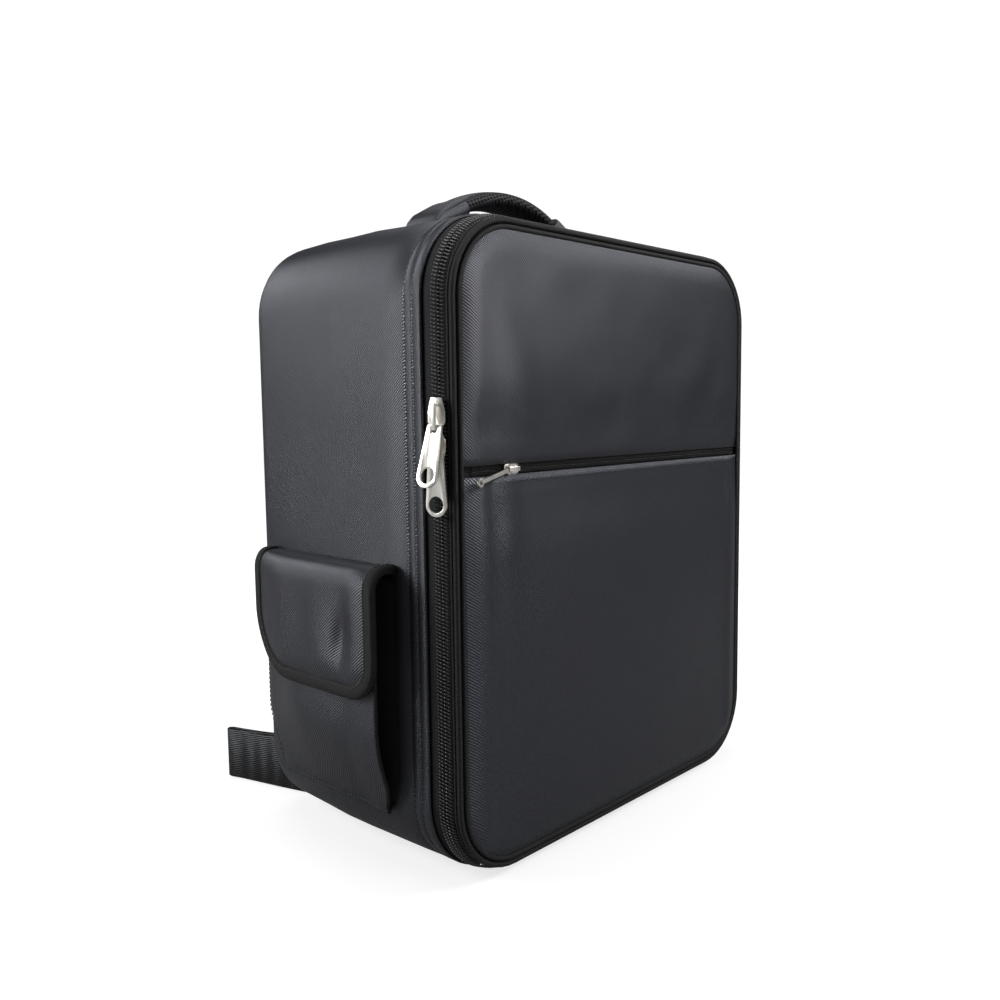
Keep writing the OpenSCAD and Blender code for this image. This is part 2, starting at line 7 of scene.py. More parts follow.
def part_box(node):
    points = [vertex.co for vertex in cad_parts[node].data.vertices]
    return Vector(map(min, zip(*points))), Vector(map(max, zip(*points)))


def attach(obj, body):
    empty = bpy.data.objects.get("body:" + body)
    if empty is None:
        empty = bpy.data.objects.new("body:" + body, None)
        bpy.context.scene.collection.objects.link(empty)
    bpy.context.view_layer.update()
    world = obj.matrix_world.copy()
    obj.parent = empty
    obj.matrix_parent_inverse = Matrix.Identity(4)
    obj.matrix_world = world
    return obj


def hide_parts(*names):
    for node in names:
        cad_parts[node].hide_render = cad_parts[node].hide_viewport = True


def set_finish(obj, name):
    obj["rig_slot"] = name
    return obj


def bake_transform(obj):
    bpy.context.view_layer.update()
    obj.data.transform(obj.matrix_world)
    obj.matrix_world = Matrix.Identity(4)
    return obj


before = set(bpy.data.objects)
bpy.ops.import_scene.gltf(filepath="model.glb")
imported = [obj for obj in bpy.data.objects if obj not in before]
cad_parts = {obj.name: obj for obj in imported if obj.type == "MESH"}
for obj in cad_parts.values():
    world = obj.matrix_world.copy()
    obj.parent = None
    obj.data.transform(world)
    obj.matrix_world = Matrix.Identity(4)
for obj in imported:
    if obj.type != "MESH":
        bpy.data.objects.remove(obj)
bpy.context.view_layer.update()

# Lengths are in metres. X runs along the door, the door faces -Y and Z is up from the floor.
# The walls of the case are drawn as profiles of (out, forward) points: out is how far outside the
# shell's outline a point lies, and forward how far in front of the middle of the case.
MM = 0.001
SHELL_LOW, SHELL_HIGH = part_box("gusset_panel")
SIDE = SHELL_HIGH.x
TOP = SHELL_HIGH.z
BACK = SHELL_HIGH.y
HEM = -SHELL_LOW.y
CORNER = 0.060
REAR_R = 0.018
RUN_X = SIDE - CORNER
RUN_Z = TOP - 2 * CORNER

# The zip band leans forward and in from the hem
BAND_TILT = math.radians(13)
BAND_DROP = 0.0012
CASE_COIL_S = 0.0094
DOOR_COIL_S = 0.0156
TOOTH_PITCH = 0.0025

PANEL_IN = 0.0092
PANEL_HALF = SIDE - PANEL_IN
PANEL_R = CORNER - PANEL_IN
POCKET_ZIP_Z = 0.287


# ---------------------------------------------------------------- hand tools

def deselect():
    """Leave edit mode and select nothing."""
    if bpy.context.mode != "OBJECT":
        bpy.ops.object.mode_set(mode="OBJECT")
    bpy.ops.object.select_all(action="DESELECT")


def only(obj):
    """Selects this piece and nothing else."""
    deselect()
    obj.select_set(True)
    bpy.context.view_layer.objects.active = obj
    return obj


def named(name):
    """Names the piece that was just added, and puts its place into its mesh."""
    obj = bpy.context.object
    only(obj)
    bpy.ops.object.transform_apply(location=True, rotation=True, scale=True)
    obj.name = name
    obj.data.name = name
    return obj


def edit(obj, mode="VERT"):
    """Open a mesh for editing with all of it selected."""
    only(obj)
    bpy.ops.object.mode_set(mode="EDIT")
    bpy.ops.mesh.select_mode(type=mode)
    bpy.ops.mesh.select_all(action="SELECT")


def done():
    """Leave edit mode."""
    bpy.ops.object.mode_set(mode="OBJECT")


def choose(obj, kind, test):
    """In edit mode, selects the faces or edges that pass the test."""
    bpy.ops.mesh.select_all(action="DESELECT")
    bpy.ops.mesh.select_mode(type=kind)
    form = bmesh.from_edit_mesh(obj.data)
    items = form.faces if kind == "FACE" else form.edges
    for item in items:
        if test(item):
            item.select_set(True)
    form.select_flush_mode()
    bmesh.update_edit_mesh(obj.data)


def modify(obj, kind, **values):
    """Adds a modifier and applies it."""
    only(obj)
    modifier = obj.modifiers.new(kind.lower(), kind)
    for key, value in values.items():
        setattr(modifier, key, value)
    bpy.ops.object.modifier_apply(modifier=modifier.name)
    return obj


def rounded(obj, levels=1):
    """Round a mesh off by subdividing its surface."""
    return modify(obj, "SUBSURF", levels=levels, render_levels=levels)


def thick(obj, thickness, offset=-1.0):
    """Give a sheet its thickness."""
    return modify(obj, "SOLIDIFY", thickness=thickness, offset=offset)


def softened(obj, width, segments=2, angle=30):
    """Bevel the edges that are sharper than an angle in degrees."""
    return modify(obj, "BEVEL", width=width, segments=segments, limit_method="ANGLE",
                  angle_limit=math.radians(angle))


def outwards(obj, merge=0.00002):
    """Closes the seams and turns every face outwards."""
    edit(obj)
    bpy.ops.mesh.remove_doubles(threshold=merge)
    bpy.ops.mesh.normals_make_consistent(inside=False)
    done()
    return obj


def smooth(obj, angle=None):
    """Shade a mesh smoothly, all over or only up to an angle in degrees."""
    only(obj)
    if angle is None:
        bpy.ops.object.shade_smooth()
    else:
        bpy.ops.object.shade_smooth_by_angle(angle=math.radians(angle))
    return obj


def shape(obj, rule):
    """Moves each point of the mesh to where the rule puts it."""
    for vertex in obj.data.vertices:
        vertex.co = rule(vertex.co.copy())
    obj.data.update()
    return obj


def rumple(obj, size, height, weight=None):
    """Soft uneven folds along the normals, as cloth has that is stretched over foam."""
    normals = [v.normal.copy() for v in obj.data.vertices]
    for vertex, normal in zip(obj.data.vertices, normals):
        amount = noise.noise(vertex.co / size) * height
        if weight is not None:
            amount *= weight(vertex.co)
        vertex.co += normal * amount
    obj.data.update()
    return obj


def joined(name, parts):
    """Join meshes into one named piece."""
    deselect()
    for part in parts:
        part.select_set(True)
    bpy.context.view_layer.objects.active = parts[0]
    bpy.ops.object.join()
    obj = bpy.context.object
    obj.name = name
    obj.data.name = name
    return obj


def mirrored(obj, name):
    """A copy on the other side of the case."""
    copy = obj.copy()
    copy.data = obj.data.copy()
    copy.name = name
    copy.data.name = name
    for key in list(copy.keys()):
        del copy[key]
    bpy.context.collection.objects.link(copy)
    shape(copy, lambda co: Vector((-co.x, co.y, co.z)))
    copy.data.flip_normals()
    return copy


def fit(obj, body, finish, *nodes):
    """Puts a finished piece on its body with its finish, in place of the plain nodes."""
    finish_slot, material = finish
    obj.data.materials.clear()
    obj.data.materials.append(material)
    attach(obj, body)
    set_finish(obj, finish_slot)
    if nodes:
        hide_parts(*nodes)
    return obj


def fit_bent(obj, first, second, start, end, finish, *nodes):
    """For a soft piece that lies across the joint between two bodies: gives it its finish and puts its place
    into its mesh, in place of the plain nodes. It is put on no body.
    """
    finish_slot, material = finish
    obj.data.materials.clear()
    obj.data.materials.append(material)
    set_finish(obj, finish_slot)
    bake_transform(obj)
    if nodes:
        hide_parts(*nodes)
    return obj


def box_piece(name, low, high, bevel=0.001, segments=2):
    """A block between two corners with soft edges."""
    low, high = Vector(low), Vector(high)
    deselect()
    bpy.ops.mesh.primitive_cube_add(size=1, location=(low + high) / 2)
    bpy.context.object.scale = high - low
    obj = named(name)
    softened(obj, bevel, segments)
    return smooth(obj, 40)


def grid(name, centre, width, height, columns, rows, facing):
    """An upright or flat grid. facing is front, back, left or up."""
    turns = {"front": (math.pi / 2, 0, 0), "left": (math.pi / 2, 0, -math.pi / 2),
             "back": (math.pi / 2, 0, math.pi), "up": (0, 0, 0)}
    deselect()
    bpy.ops.mesh.primitive_grid_add(x_subdivisions=columns, y_subdivisions=rows, size=1,
                                    location=centre, rotation=turns[facing])
    bpy.context.object.scale = (width, height, 1)
    return named(name)


def drawn(name, rings, close_ends=True):
    """A form drawn through rings of points. A grid is rolled up, its seam merged and its ends filled."""
    deselect()
    count = len(rings[0])
    bpy.ops.mesh.primitive_grid_add(x_subdivisions=count, y_subdivisions=len(rings) - 1, size=1)
    obj = named(name)
    for index, vertex in enumerate(obj.data.vertices):
        ring = rings[index // (count + 1)]
        vertex.co = ring[index % (count + 1) % count]
    edit(obj)
    bpy.ops.mesh.remove_doubles(threshold=0.00001)
    if close_ends:
        bpy.ops.mesh.select_all(action="DESELECT")
        bpy.ops.mesh.select_mode(type="EDGE")
        bpy.ops.mesh.select_non_manifold()
        bpy.ops.mesh.edge_face_add()
        bpy.ops.mesh.select_all(action="SELECT")
    bpy.ops.mesh.normals_make_consistent(inside=False)
    done()
    return obj


def oval(centre, across, up, half_across, half_up, count=20, power=2.6):
    """A ring of points: a soft rectangle about a centre."""
    points = []
    for i in range(count):
        angle = 2 * math.pi * i / count
        a = math.copysign(abs(math.cos(angle)) ** (2 / power), math.cos(angle))
        b = math.copysign(abs(math.sin(angle)) ** (2 / power), math.sin(angle))
        points.append(Vector(centre) + Vector(across) * (a * half_across) + Vector(up) * (b * half_up))
    return points


def swept(name, profile, closed=True, full=False, turn=10, straight=8):
    """Runs a wall profile round the case from the bottom left corner. The bottom stays open unless full."""
    deselect()
    bpy.ops.mesh.primitive_circle_add(vertices=len(profile), radius=0.01)
    obj = named(name)
    for vertex, (out, forward) in zip(obj.data.vertices, profile):
        vertex.co = (-RUN_X, -forward, -out)
    edit(obj)
    if not closed:
        ends = {obj.data.vertices[0].co.copy().freeze(), obj.data.vertices[-1].co.copy().freeze()}
        choose(obj, "EDGE", lambda edge: {v.co.copy().freeze() for v in edge.verts} == ends)
        bpy.ops.mesh.delete(type="EDGE")
        bpy.ops.mesh.select_mode(type="VERT")
    bpy.ops.mesh.select_all(action="SELECT")
    corners = [((-RUN_X, 0, CORNER), (0, 0, RUN_Z)), ((-RUN_X, 0, CORNER + RUN_Z), (2 * RUN_X, 0, 0)),
               ((RUN_X, 0, CORNER + RUN_Z), (0, 0, -RUN_Z)), ((RUN_X, 0, CORNER), (-2 * RUN_X, 0, 0))]
    for index, (centre, run) in enumerate(corners):
        bpy.ops.mesh.spin(steps=turn, angle=-math.pi / 2, center=centre, axis=(0, 1, 0))
        if index == 3 and not full:
            break
        for _ in range(straight):
            bpy.ops.mesh.extrude_region_move(TRANSFORM_OT_translate={"value": Vector(run) / straight})
    done()
    return smooth(outwards(obj))


def rope(centre, radius, count=10):
    """A round profile for a piping cord."""
    out, forward = centre
    angles = [2 * math.pi * i / count for i in range(count)]
    return [(out + radius * math.cos(a), forward + radius * math.sin(a)) for a in angles]


def band(out, along):
    """A point of the zip band, out of the tape and along it from the hem, as a profile point."""
    cos, sin = math.cos(BAND_TILT), math.sin(BAND_TILT)
    return (-BAND_DROP + out * cos - along * sin, HEM + out * sin + along * cos)


def ring_places(out, forward, pitch, tilt=0.0, offset=0.0, full=False):
    """Places at a pitch along the outline, each with X back along it, Y forward and Z outwards."""
    radius = CORNER + out
    arc = radius * math.pi / 2
    steps = []
    left, right, low, high = -RUN_X, RUN_X, CORNER, CORNER + RUN_Z
    for index, (x, z, run) in enumerate(((left, low, RUN_Z), (left, high, 2 * RUN_X), (right, high, RUN_Z),
                                         (right, low, 2 * RUN_X if full else 0))):
        steps.append(("arc", arc, x, z, -math.pi / 2 * (index + 1)))
        steps.append(("run", run, x, z, -math.pi / 2 * (index + 2)))
    places = []
    travel = offset
    for kind, length, x, z, start in steps:
        while travel < length:
            angle = start - (travel / radius if kind == "arc" else 0)
            outward = Vector((math.cos(angle), 0, math.sin(angle)))
            along = Vector((math.sin(angle), 0, -math.cos(angle)))
            point = Vector((x, -forward, z)) + outward * radius
            if kind == "run":
                point += along * travel
            ahead = Vector((0, -1, 0)) * math.cos(tilt) - outward * math.sin(tilt)
            up = outward * math.cos(tilt) + Vector((0, -1, 0)) * math.sin(tilt)
            turn = Matrix((-along, ahead, up)).transposed().to_4x4()
            places.append(Matrix.Translation(point) @ turn)
            travel += pitch
        travel -= length
    return places


def line_places(start, end, pitch, up):
    """Places along a straight line, each with X along it and Z up out of the surface."""
    start, end = Vector(start), Vector(end)
    along = (end - start).normalized()
    up = Vector(up).normalized()
    across = up.cross(along)
    turn = Matrix((along, across, up)).transposed().to_4x4()
    count = max(1, round((end - start).length / pitch))
    return [Matrix.Translation(start.lerp(end, (i + 0.5) / count)) @ turn for i in range(count)]


def repeated(name, piece, places):
    """One object made of copies of a small piece, one at each place."""
    points = [v.co.copy() for v in piece.data.vertices]
    faces = [tuple(p.vertices) for p in piece.data.polygons]
    all_points, all_faces = [], []
    for number, place in enumerate(places):
        all_points += [place @ p for p in points]
        all_faces += [tuple(i + number * len(points) for i in face) for face in faces]
    mesh = bpy.data.meshes.new(name)
    mesh.from_pydata(all_points, [], all_faces)
    obj = bpy.data.objects.new(name, mesh)
    bpy.context.collection.objects.link(obj)
    return smooth(obj)


def away(obj):
    """Delete a helper mesh that is no longer needed."""
    bpy.data.objects.remove(obj, do_unlink=True)


def copied_node(name, node, bevel, segments=2):
    """A copy of a hard node with its loose triangles merged and its edges rounded."""
    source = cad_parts[node]
    copy = source.copy()
    copy.data = source.data.copy()
    for key in list(copy.keys()):
        del copy[key]
    bpy.context.collection.objects.link(copy)
    copy.parent = None
    copy.hide_render = False
    copy.hide_viewport = False
    copy.name = name
    copy.data.name = name
    edit(copy)
    bpy.ops.mesh.remove_doubles(threshold=0.00001)
    bpy.ops.mesh.dissolve_limited(angle_limit=math.radians(4))
    done()
    softened(copy, bevel, segments, 25)
    return smooth(copy, 40)


# ---------------------------------------------------------------- effects shared by the finishes

def new_group(name, inputs, outputs):
    """An empty node group with number inputs and outputs. inputs holds (name, default) pairs."""
    group = bpy.data.node_groups.new(name, "ShaderNodeTree")
    group.interface.new_socket("Place", in_out="INPUT", socket_type="NodeSocketVector")
    for label, default in inputs:
        socket = group.interface.new_socket(label, in_out="INPUT", socket_type="NodeSocketFloat")
        socket.default_value = default
    for label in outputs:
        group.interface.new_socket(label, in_out="OUTPUT", socket_type="NodeSocketFloat")
    return group, group.nodes.new("NodeGroupInput"), group.nodes.new("NodeGroupOutput")


def sum_of(tree, operation, first, second, third=None):
    """A Math node fed by sockets or plain numbers."""
    node = tree.nodes.new("ShaderNodeMath")
    node.operation = operation
    for slot_index, value in enumerate((first, second, third)):
        if value is None:
            continue
        if isinstance(value, (int, float)):
            node.inputs[slot_index].default_value = value
        else:
            tree.links.new(value, node.inputs[slot_index])
    return node.outputs[0]


def split(tree, vector):
    """The x, y and z of a vector, as three outputs."""
    node = tree.nodes.new("ShaderNodeSeparateXYZ")
    tree.links.new(vector, node.inputs[0])
    return node.outputs


def ridge(tree, distance, pitch):
    """A smooth 0 to 1 ridge that repeats at a pitch."""
    turns = sum_of(tree, "MULTIPLY", sum_of(tree, "DIVIDE", distance, pitch), 2 * math.pi)
    return sum_of(tree, "MULTIPLY_ADD", sum_of(tree, "SINE", turns, None), 0.5, 0.5)


def twill_group():
    """Twill weave: diagonal ribs crossed by finer threads, the same on every upright face."""
    group, inside, outside = new_group("Twill_Weave", [("Pitch", 0.0014), ("Cross", 0.35)],
                                       ["Height", "Shade"])
    x, y, z = split(group, inside.outputs["Place"])
    flat = sum_of(group, "ADD", x, y)
    rib = ridge(group, sum_of(group, "ADD", flat, z), inside.outputs["Pitch"])
    thread = ridge(group, sum_of(group, "SUBTRACT", flat, z),
                   sum_of(group, "MULTIPLY", inside.outputs["Pitch"], 0.62))
    crossed = sum_of(group, "MULTIPLY", thread, inside.outputs["Cross"])
    height = sum_of(group, "ADD", rib, crossed)
    group.links.new(height, outside.inputs["Height"])
    group.links.new(sum_of(group, "MULTIPLY", height, 0.75), outside.inputs["Shade"])
    return group


def webbing_group():
    """Woven ribbing: ribs across the strap and a fine zigzag along them."""
    group, inside, outside = new_group("Webbing_Ribs", [("Pitch", 0.0016), ("Slant", 0.5)],
                                       ["Height", "Shade"])
    x, y, z = split(group, inside.outputs["Place"])
    across = sum_of(group, "ADD", x, sum_of(group, "MULTIPLY", y, inside.outputs["Slant"]))
    rib = ridge(group, sum_of(group, "ADD", z, sum_of(group, "MULTIPLY", across, 0.25)),
                inside.outputs["Pitch"])
    cross = ridge(group, across, sum_of(group, "MULTIPLY", inside.outputs["Pitch"], 1.9))
    height = sum_of(group, "MULTIPLY", rib, sum_of(group, "MULTIPLY_ADD", cross, 0.5, 0.5))
    group.links.new(height, outside.inputs["Height"])
    group.links.new(height, outside.inputs["Shade"])
    return group


def tone_group():
    """Slow changes of tone across the cloth, and a sprinkle of lint."""
    group, inside, outside = new_group("Cloth_Tone", [("Size", 9.0), ("Lint", 0.4)], ["Tone", "Lint"])
    broad = group.nodes.new("ShaderNodeTexNoise")
    broad.inputs["Detail"].default_value = 4
    fine = group.nodes.new("ShaderNodeTexNoise")
    fine.inputs["Scale"].default_value = 900
    fine.inputs["Detail"].default_value = 1
    for node in (broad, fine):
        group.links.new(inside.outputs["Place"], node.inputs["Vector"])
    group.links.new(inside.outputs["Size"], broad.inputs["Scale"])
    speck = sum_of(group, "MULTIPLY", sum_of(group, "GREATER_THAN", fine.outputs[0], 0.74),
                   inside.outputs["Lint"])
    group.links.new(broad.outputs[0], outside.inputs["Tone"])
    group.links.new(speck, outside.inputs["Lint"])
    return group


def wear_group():
    """Fine scratches and a dull film on metal and hard plastic."""
    group, inside, outside = new_group("Metal_Wear", [("Scale", 300.0), ("Amount", 0.5)],
                                       ["Scratch", "Film"])
    stretch = group.nodes.new("ShaderNodeMapping")
    stretch.inputs["Scale"].default_value = (1, 1, 0.12)
    scratch = group.nodes.new("ShaderNodeTexNoise")
    film = group.nodes.new("ShaderNodeTexNoise")
    film.inputs["Scale"].default_value = 120
    film.inputs["Detail"].default_value = 5
    group.links.new(inside.outputs["Place"], stretch.inputs["Vector"])
    group.links.new(stretch.outputs[0], scratch.inputs["Vector"])
    group.links.new(inside.outputs["Place"], film.inputs["Vector"])
    group.links.new(inside.outputs["Scale"], scratch.inputs["Scale"])
    marks = sum_of(group, "MULTIPLY", scratch.outputs[0], inside.outputs["Amount"])
    group.links.new(marks, outside.inputs["Scratch"])
    group.links.new(film.outputs[0], outside.inputs["Film"])
    return group


def mesh_group():
    """Spacer mesh: rows of small round holes."""
    group, inside, outside = new_group("Air_Mesh_Holes", [("Pitch", 0.004)], ["Hole", "Height"])
    x, y, z = split(group, inside.outputs["Place"])
    flat = sum_of(group, "ADD", x, sum_of(group, "MULTIPLY", z, 0.5))
    depth = sum_of(group, "SUBTRACT", sum_of(group, "ADD", y, z), sum_of(group, "MULTIPLY", x, 0.35))
    across = ridge(group, flat, inside.outputs["Pitch"])
    along = ridge(group, depth, sum_of(group, "MULTIPLY", inside.outputs["Pitch"], 0.9))
    height = sum_of(group, "MULTIPLY", across, along)
    hole = sum_of(group, "GREATER_THAN", height, 0.42)
    group.links.new(hole, outside.inputs["Hole"])
    group.links.new(sum_of(group, "SUBTRACT", 1.0, height), outside.inputs["Height"])
    return group


TWILL = twill_group()
RIBS = webbing_group()
TONE = tone_group()
WEAR = wear_group()
HOLES = mesh_group()


# ---------------------------------------------------------------- finishes

def new_material(name):
    """A material with its shader and the place on the piece that its patterns read."""
    material = bpy.data.materials.new(name)
    material.use_nodes = True
    tree = material.node_tree
    shader = next(n for n in tree.nodes if n.type == "BSDF_PRINCIPLED")
    place = tree.nodes.new("ShaderNodeTexCoord").outputs["Object"]
    return material, tree, shader, place


def effect(tree, group, place, **values):
    """Place a shared effect in a material with its own values."""
    node = tree.nodes.new("ShaderNodeGroup")
    node.node_tree = group
    tree.links.new(place, node.inputs["Place"])
    for label, value in values.items():
        node.inputs[label].default_value = value
    return node.outputs


def mixed(tree, factor, dark, light):
    """A colour between two, by a factor."""
    node = tree.nodes.new("ShaderNodeMix")
    node.data_type = "RGBA"
    tree.links.new(factor, node.inputs["Factor"])
    for socket, value in ((node.inputs["A"], dark), (node.inputs["B"], light)):
        if isinstance(value, tuple):
            socket.default_value = (*value, 1)
        else:
            tree.links.new(value, socket)
    return node.outputs["Result"]


def raised(tree, shader, height, distance, strength=1.0):
    """Raise the surface of a material by a height."""
    bump = tree.nodes.new("ShaderNodeBump")
    bump.inputs["Distance"].default_value = distance
    bump.inputs["Strength"].default_value = strength
    tree.links.new(height, bump.inputs["Height"])
    tree.links.new(bump.outputs[0], shader.inputs["Normal"])


def cloth(name, pattern, pitch, dark, light, rough, depth, shine, lint=0.35, tone_size=9.0):
    """A woven cloth: the weave shades and raises it, and its tone drifts across the piece."""
    material, tree, shader, place = new_material(name)
    weave = effect(tree, pattern, place, Pitch=pitch)
    tone = effect(tree, TONE, place, Size=tone_size, Lint=lint)
    woven = mixed(tree, weave["Shade"], dark, light)
    drifting = mixed(tree, sum_of(tree, "MULTIPLY", tone["Tone"], 0.40), woven,
                     tuple(c * 1.3 for c in dark))
    dusty = mixed(tree, sum_of(tree, "MULTIPLY", tone["Lint"], 0.25), drifting,
                  tuple(min(1, c * 2.5 + 0.02) for c in light))
    tree.links.new(dusty, shader.inputs["Base Color"])
    uneven = sum_of(tree, "MULTIPLY_ADD", tone["Tone"], 0.16, rough - 0.08)
    tree.links.new(sum_of(tree, "MULTIPLY_ADD", weave["Shade"], -0.08, uneven),
                   shader.inputs["Roughness"])
    shader.inputs["Specular IOR Level"].default_value = shine
    shader.inputs["Specular Tint"].default_value = (0.86, 0.90, 1.0, 1)
    raised(tree, shader, weave["Height"], depth)
    return material


def nylon():
    """The satin charcoal cloth of the shell, the door and the flaps."""
    return cloth("charcoal_nylon", TWILL, 0.0021, (0.0012, 0.0013, 0.0026), (0.019, 0.0195, 0.026),
                 0.40, 0.00020, 0.60)


def binding():
    """The narrow black tape that binds cut edges."""
    return cloth("black_binding", TWILL, 0.0012, (0.004, 0.004, 0.004), (0.021, 0.020, 0.017),
                 0.62, 0.00020, 0.22)


def tape():
    """The flat black tape that carries a zip."""
    return cloth("black_tape", RIBS, 0.0011, (0.004, 0.004, 0.0045), (0.014, 0.014, 0.014),
                 0.6, 0.00018, 0.16)


def webbing():
    """The ribbed black webbing of the straps."""
    return cloth("black_webbing", RIBS, 0.0017, (0.004, 0.004, 0.004), (0.020, 0.0195, 0.018),
                 0.5, 0.00035, 0.28)


def lining():
    """The grey cloth of the inside."""
    return cloth("grey_lining", TWILL, 0.001, (0.06, 0.062, 0.066), (0.11, 0.112, 0.118),
                 0.62, 0.00005, 0.3)


def gauze():
    """Brushed black cloth, as on a loop patch."""
    return cloth("brushed_loop", TWILL, 0.0006, (0.01, 0.01, 0.01), (0.05, 0.05, 0.05),
                 0.85, 0.0003, 0.15, 0.9)


def foam():
    """Closed-cell foam: fine pores and a soft drift of grey."""
    material, tree, shader, place = new_material("divider_foam")
    cells = tree.nodes.new("ShaderNodeTexVoronoi")
    cells.inputs["Scale"].default_value = 900
    tree.links.new(place, cells.inputs["Vector"])
    tone = effect(tree, TONE, place, Size=14.0, Lint=0.2)
    colour = mixed(tree, cells.outputs["Distance"], (0.03, 0.03, 0.032), (0.075, 0.075, 0.08))
    tree.links.new(mixed(tree, tone["Tone"], colour, (0.055, 0.055, 0.058)), shader.inputs["Base Color"])
    tree.links.new(sum_of(tree, "MULTIPLY_ADD", tone["Tone"], 0.1, 0.8), shader.inputs["Roughness"])
    raised(tree, shader, cells.outputs["Distance"], 0.0002)
    return material


def board():
    """Pressed fibre board: short fibres in a dark sheet."""
    material, tree, shader, place = new_material("stiffener_board")
    wear = effect(tree, WEAR, place, Scale=500.0, Amount=1.0)
    tree.links.new(mixed(tree, wear["Scratch"], (0.02, 0.02, 0.02), (0.06, 0.058, 0.055)),
                   shader.inputs["Base Color"])
    tree.links.new(sum_of(tree, "MULTIPLY_ADD", wear["Film"], 0.2, 0.55), shader.inputs["Roughness"])
    raised(tree, shader, wear["Scratch"], 0.0001)
    return material


def air_mesh():
    """Spacer mesh over foam: holes that show the dark foam below."""
    material, tree, shader, place = new_material("air_mesh")
    holes = effect(tree, HOLES, place, Pitch=0.0042)
    tone = effect(tree, TONE, place, Size=12.0, Lint=0.3)
    knit = mixed(tree, tone["Tone"], (0.006, 0.006, 0.007), (0.018, 0.018, 0.021))
    tree.links.new(mixed(tree, holes["Hole"], knit, (0.002, 0.002, 0.002)), shader.inputs["Base Color"])
    tree.links.new(sum_of(tree, "MULTIPLY_ADD", holes["Hole"], 0.3, 0.55), shader.inputs["Roughness"])
    shader.inputs["Specular IOR Level"].default_value = 0.22
    raised(tree, shader, holes["Height"], 0.0008)
    return material


def hard(name, dark, light, metal, rough, spread):
    """A hard finish with fine scratches and a dull film."""
    material, tree, shader, place = new_material(name)
    wear = effect(tree, WEAR, place, Scale=420.0, Amount=0.9)
    tree.links.new(mixed(tree, wear["Film"], dark, light), shader.inputs["Base Color"])
    shader.inputs["Metallic"].default_value = metal
    marks = sum_of(tree, "MULTIPLY_ADD", wear["Scratch"], spread, rough)
    tree.links.new(sum_of(tree, "MULTIPLY_ADD", wear["Film"], 0.1, marks), shader.inputs["Roughness"])
    raised(tree, shader, wear["Scratch"], 0.00003)
    return material


def nickel():
    """The bright plated metal of the sliders and pulls."""
    return hard("plated_nickel", (0.80, 0.77, 0.71), (0.96, 0.94, 0.89), 1.0, 0.20, 0.22)


def coil():
    """The glossy black of the zip teeth."""
    return hard("zip_coil", (0.012, 0.012, 0.012), (0.030, 0.029, 0.028), 0.0, 0.24, 0.16)


def buckle():
    """The black plastic of the ladder locks."""
    return hard("buckle_plastic", (0.010, 0.010, 0.011), (0.022, 0.022, 0.024), 0.0, 0.38, 0.2)


def thread():
    """The black sewing thread."""
    return hard("sewing_thread", (0.008, 0.008, 0.010), (0.03, 0.03, 0.034), 0.0, 0.5, 0.2)


NYLON = ("charcoal_nylon", nylon())
BINDING = ("black_binding", binding())
TAPE = ("black_tape", tape())
WEBBING = ("black_webbing", webbing())
LINING = ("grey_lining", lining())
LOOP = ("black_tape", gauze())
FOAM = ("foam", foam())
BOARD = ("stiffener", board())
MESH = ("air_mesh", air_mesh())
NICKEL = ("nickel", nickel())
COIL = ("zip_coil", coil())
BUCKLE = ("buckle_plastic", buckle())
THREAD = ("black_tape", thread())


# ---------------------------------------------------------------- stage

def add_camera():
    """Looks at the corner beside the zip, from a little above the middle of the case."""
    yaw, pitch, roll = math.radians(46.78), math.radians(5.56), math.radians(-0.71)
    ahead = Vector((math.sin(yaw) * math.cos(pitch), math.cos(yaw) * math.cos(pitch), -math.sin(pitch)))
    right = Vector((math.cos(yaw), -math.sin(yaw), 0))
    up = right.cross(ahead)
    across = right * math.cos(roll) + up * math.sin(roll)
    upright = up * math.cos(roll) - right * math.sin(roll)
    deselect()
    bpy.ops.object.camera_add(location=(0, 0, 0))
    camera = bpy.context.object
    turn = Matrix((across, upright, -ahead)).transposed().to_4x4()
    camera.matrix_world = Matrix.Translation((-0.6059, -0.5485, 0.3283)) @ turn
    camera.data.lens = 34.0
    camera.data.sensor_width = 36.0
    camera.data.clip_start = 0.01
    bpy.context.scene.camera = camera


def add_lamp(name, location, target, size, power):
    """A large soft lamp that looks at a point."""
    deselect()
    bpy.ops.object.light_add(type="AREA", location=location)
    lamp = bpy.context.object
    lamp.name = name
    lamp.data.shape = "RECTANGLE"
    lamp.data.size, lamp.data.size_y = size
    lamp.data.energy = power
    direction = Vector(target) - Vector(location)
    lamp.rotation_euler = direction.to_track_quat("-Z", "Y").to_euler()


def camera_only(tree, value):
    """A strength that only the camera sees, so that the white paper doesn't light the case."""
    path = tree.nodes.new("ShaderNodeLightPath")
    return sum_of(tree, "MULTIPLY", path.outputs["Is Camera Ray"], value)


def floor_material():
    """White paper that fades into the white behind it."""
    material, tree, shader, place = new_material("white_floor")
    tone = effect(tree, TONE, place, Size=3.0, Lint=0.0)
    tree.links.new(mixed(tree, tone["Tone"], (0.26, 0.26, 0.26), (0.28, 0.28, 0.28)),
                   shader.inputs["Base Color"])
    shader.inputs["Roughness"].default_value = 0.9
    shader.inputs["Emission Color"].default_value = (1, 1, 1, 1)
    x, y = split(tree, place)[:2]
    reach = sum_of(tree, "SQRT", sum_of(tree, "ADD", sum_of(tree, "MULTIPLY", x, x),
                                        sum_of(tree, "MULTIPLY", y, y)), None)
    fade = sum_of(tree, "MINIMUM", sum_of(tree, "MULTIPLY_ADD", reach, 0.35, 0.68), 1.0)
    seen = sum_of(tree, "MULTIPLY", camera_only(tree, 1.0), fade)
    tree.links.new(seen, shader.inputs["Emission Strength"])
    return material


